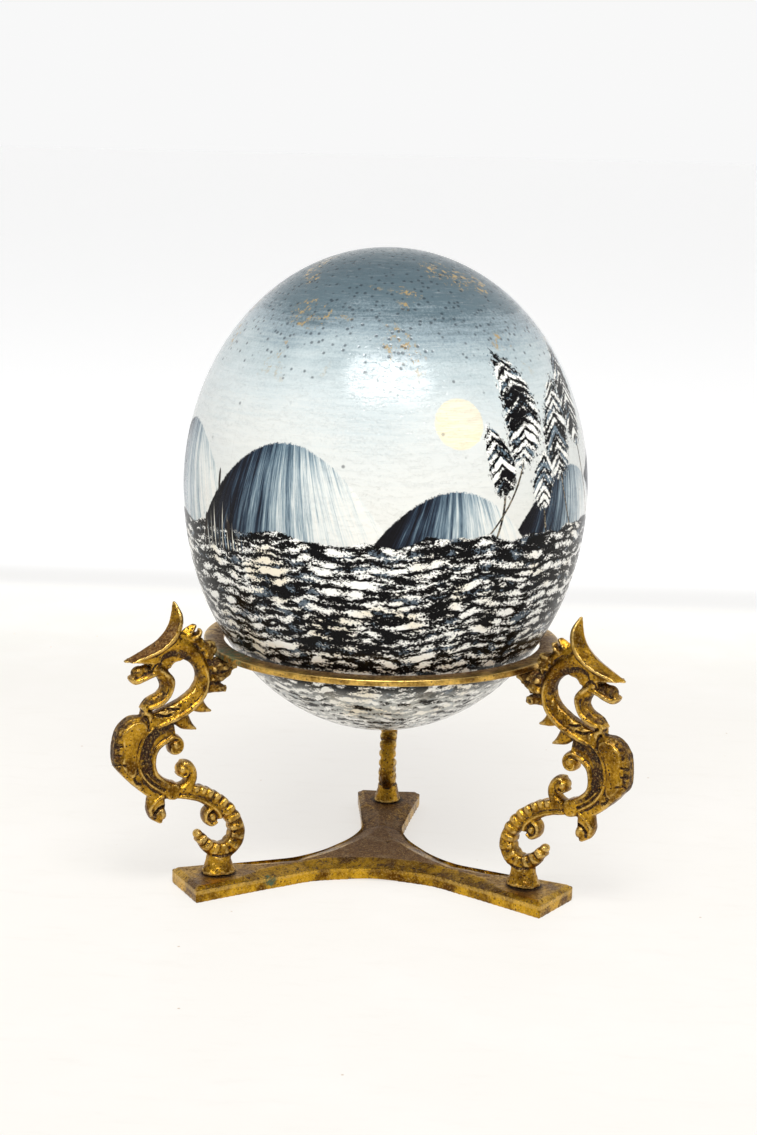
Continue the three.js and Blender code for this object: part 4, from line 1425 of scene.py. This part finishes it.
def dress_screws():
    """The screws keep their solids and get the steel."""
    steel = screw_steel()
    for name, *_ in LEGS:
        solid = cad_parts["screw_" + name]
        solid.data.materials.clear()
        solid.data.materials.append(steel)


# ------------------------------------------------------------------ camera, floor and light


def direction(azimuth, elevation):
    """The way out from the stand, for angles in degrees; azimuth 0 is the front."""
    a, e = math.radians(azimuth), math.radians(elevation)
    return Vector((math.sin(a) * math.cos(e), -math.cos(a) * math.cos(e), math.sin(e)))


def make_camera():
    """A long lens a little to the right of the front and above, turned slightly on its own axis."""
    azimuth, roll = math.radians(CAMERA_AZIMUTH), math.radians(CAMERA_ROLL)
    back = direction(CAMERA_AZIMUTH, CAMERA_ELEVATION)
    right = Vector((math.cos(azimuth), math.sin(azimuth), 0))
    up = back.cross(right)
    place = (Vector((0, 0, CAMERA_AIM_Z)) - right * CAMERA_AIM_LEFT + back * CAMERA_DISTANCE) * MM
    sideways = math.cos(roll) * right + math.sin(roll) * up
    upwards = math.cos(roll) * up - math.sin(roll) * right
    camera = bpy.data.objects.new("camera", bpy.data.cameras.new("camera"))
    camera.data.sensor_fit = "VERTICAL"
    camera.data.sensor_height = 36
    camera.data.lens = CAMERA_LENS
    camera.data.clip_end = 20
    camera.matrix_world = Matrix.Translation(place) @ Matrix((sideways, upwards, back)).transposed().to_4x4()
    scene.collection.objects.link(camera)
    scene.camera = camera


# Light that the floor gives out: under the stand, far from it, in smears and in specks.
UNDERLIT_GLOW = (0.65, 0.634, 0.612, 1)
FAR_GLOW = (0.37, 0.37, 0.37, 1)
SMEAR_GLOW = (0.5, 0.46, 0.42, 1)
SPECK_GLOW = (0.35, 0.24, 0.15, 1)
# What is left of the floor's own colour where it is lit from below.
UNDERLIT_SHADE = (0.37, 0.365, 0.36, 1)
BLACK = (0, 0, 0, 1)


def floor_material():
    """A warm near part that melts into a cooler white behind the stand."""
    material, n, skin = new_material("pale floor")
    point = millimetres(n)
    away = n.plus(n.split(point)["Y"], n.times(n.noise(point, 0.004, 1), 40))
    radius = n.vector("LENGTH", point)
    behind = n.larger(n.rise(away, FLOOR_SEAM_Y - 25, FLOOR_SEAM_Y + 30), n.rise(radius, 650, 1900))
    # Painted shadow: a soft grey line on the floor where the near part meets the white behind the stand.
    seam = n.rise(away, FLOOR_SEAM_Y + 80, FLOOR_SEAM_Y + 10)
    seam = n.times(n.rise(away, FLOOR_SEAM_Y - 35, FLOOR_SEAM_Y), seam)
    far = n.rise(radius, 900, 6000)
    mottle = n.rise(n.noise(point, 0.02, 4, 0.6), 0.4, 0.7)
    near = n.mix(mottle, shade(230, 228, 221), shade(236, 234, 229))
    # Painted shade: the floor is darker towards the front, to hold back the extra light from the nearer
    # softboxes.
    near = n.mix(n.times(n.rise(away, 20, -260), 0.55), near, shade(200, 199, 194))
    specks = n.spots(point, 0.09)
    chosen = n.rise(n.split(specks.outputs["Color"])["Y"], 0.66, 0.68)
    speck = n.times(n.rise(specks.outputs["Distance"], 0.05, 0.02), chosen)
    near = n.mix(n.times(speck, 0.7), near, shade(176, 140, 96))
    # Round the stand a light under the floor takes most of the weight out of the shadows.
    inner, outer = UNDERLIT_R
    close = n.rise(radius, outer, inner)
    near = n.mix(close, near, UNDERLIT_SHADE, blend="MULTIPLY")
    colour = n.mix(behind, near, n.mix(far, shade(252, 252, 252), shade(250, 250, 250)))
    # The painted shadow line at the seam.
    colour = n.mix(seam, colour, shade(208, 207, 205))
    n.feed(skin.inputs["Base Color"], colour)
    n.feed(skin.inputs["Roughness"], n.plus(0.6, n.times(mottle, 0.1)))
    skin.inputs["Specular IOR Level"].default_value = 0.1
    # Far from the softboxes the floor keeps its brightness.
    lifted = n.larger(n.rise(away, 60, 480), n.rise(radius, 420, 1100))
    glow = n.mix(n.larger(lifted, 0.31), BLACK, FAR_GLOW)
    glow = n.mix(close, glow, UNDERLIT_GLOW)
    smear = n.rise(n.noise(n.vector("MULTIPLY", point, (0.05, 0.16, 0.1)), 1.0, 5, 0.7), 0.5, 0.8)
    glow = n.mix(n.times(smear, 0.16), glow, SMEAR_GLOW)
    glow = n.mix(n.times(speck, 0.5), glow, SPECK_GLOW)
    n.feed(skin.inputs["Emission Color"], glow)
    skin.inputs["Emission Strength"].default_value = 1.0
    return material


def make_floor():
    reach = FLOOR_REACH * MM
    corners = [(x * reach, y * reach, 0) for x, y in ((-1, -1), (1, -1), (1, 1), (-1, 1))]
    mesh = plain_mesh("floor", corners, [(0, 1, 2, 3)])
    mesh.materials.append(floor_material())
    floor = bpy.data.objects.new("floor", mesh)
    scene.collection.objects.link(floor)


def softbox(name, azimuth):
    """A soft round light aimed at the middle of the egg."""
    away = direction(azimuth, SOFTBOX_ELEVATION)
    lamp = bpy.data.lights.new(name, "AREA")
    lamp.shape = "ELLIPSE"
    lamp.size, lamp.size_y = (side * MM for side in SOFTBOX_SIZE)
    lamp.energy = KEY_POWER / len(SOFTBOXES)
    light = bpy.data.objects.new(name, lamp)
    light.location = Vector((0, 0, SOFTBOX_AIM_Z)) * MM + away * SOFTBOX_DISTANCE * MM
    light.rotation_euler = away.to_track_quat("Z", "Y").to_euler()
    scene.collection.objects.link(light)


# The room: white behind the stand, dimmer in front, and dimmer towards its ceiling behind.
ROOM_WHITE = (0.94, 0.94, 0.94, 1)
ROOM_BACK_TOP = (0.56, 0.56, 0.56, 1)
ROOM_FRONT = (0.2, 0.196, 0.19, 1)
ROOM_FRONT_TOP = (0.5, 0.5, 0.5, 1)


def make_light():
    """A white room that is dimmer in front, with a pair of softboxes in front and above."""
    world = bpy.data.worlds.new("studio")
    scene.world = world
    world.use_nodes = True
    world.node_tree.nodes.clear()
    n = Nodes(world.node_tree)
    out = n.add("ShaderNodeOutputWorld")
    sky = n.add("ShaderNodeBackground")
    way = n.split(n.add("ShaderNodeTexCoord").outputs["Generated"])
    front = n.rise(way["Y"], 0.35, -0.45)
    high = n.rise(way["Z"], 0.15, 0.9)
    room = n.mix(high, ROOM_FRONT, ROOM_FRONT_TOP)
    room = n.mix(front, n.mix(high, ROOM_WHITE, ROOM_BACK_TOP), room)
    horizon = n.rise(n.math("ABSOLUTE", way["Z"]), 0.2, 0.09)
    n.feed(sky.inputs["Color"], n.mix(horizon, room, ROOM_WHITE))
    sky.inputs["Strength"].default_value = 1.0
    n.feed(out.inputs["Surface"], sky.outputs["Background"])
    for side, azimuth in SOFTBOXES:
        softbox("softbox " + side, azimuth)


scene.view_settings.view_transform = "Standard"
make_camera()
make_floor()
make_light()
make_egg()
make_ring()
make_base()
make_legs()
dress_screws()
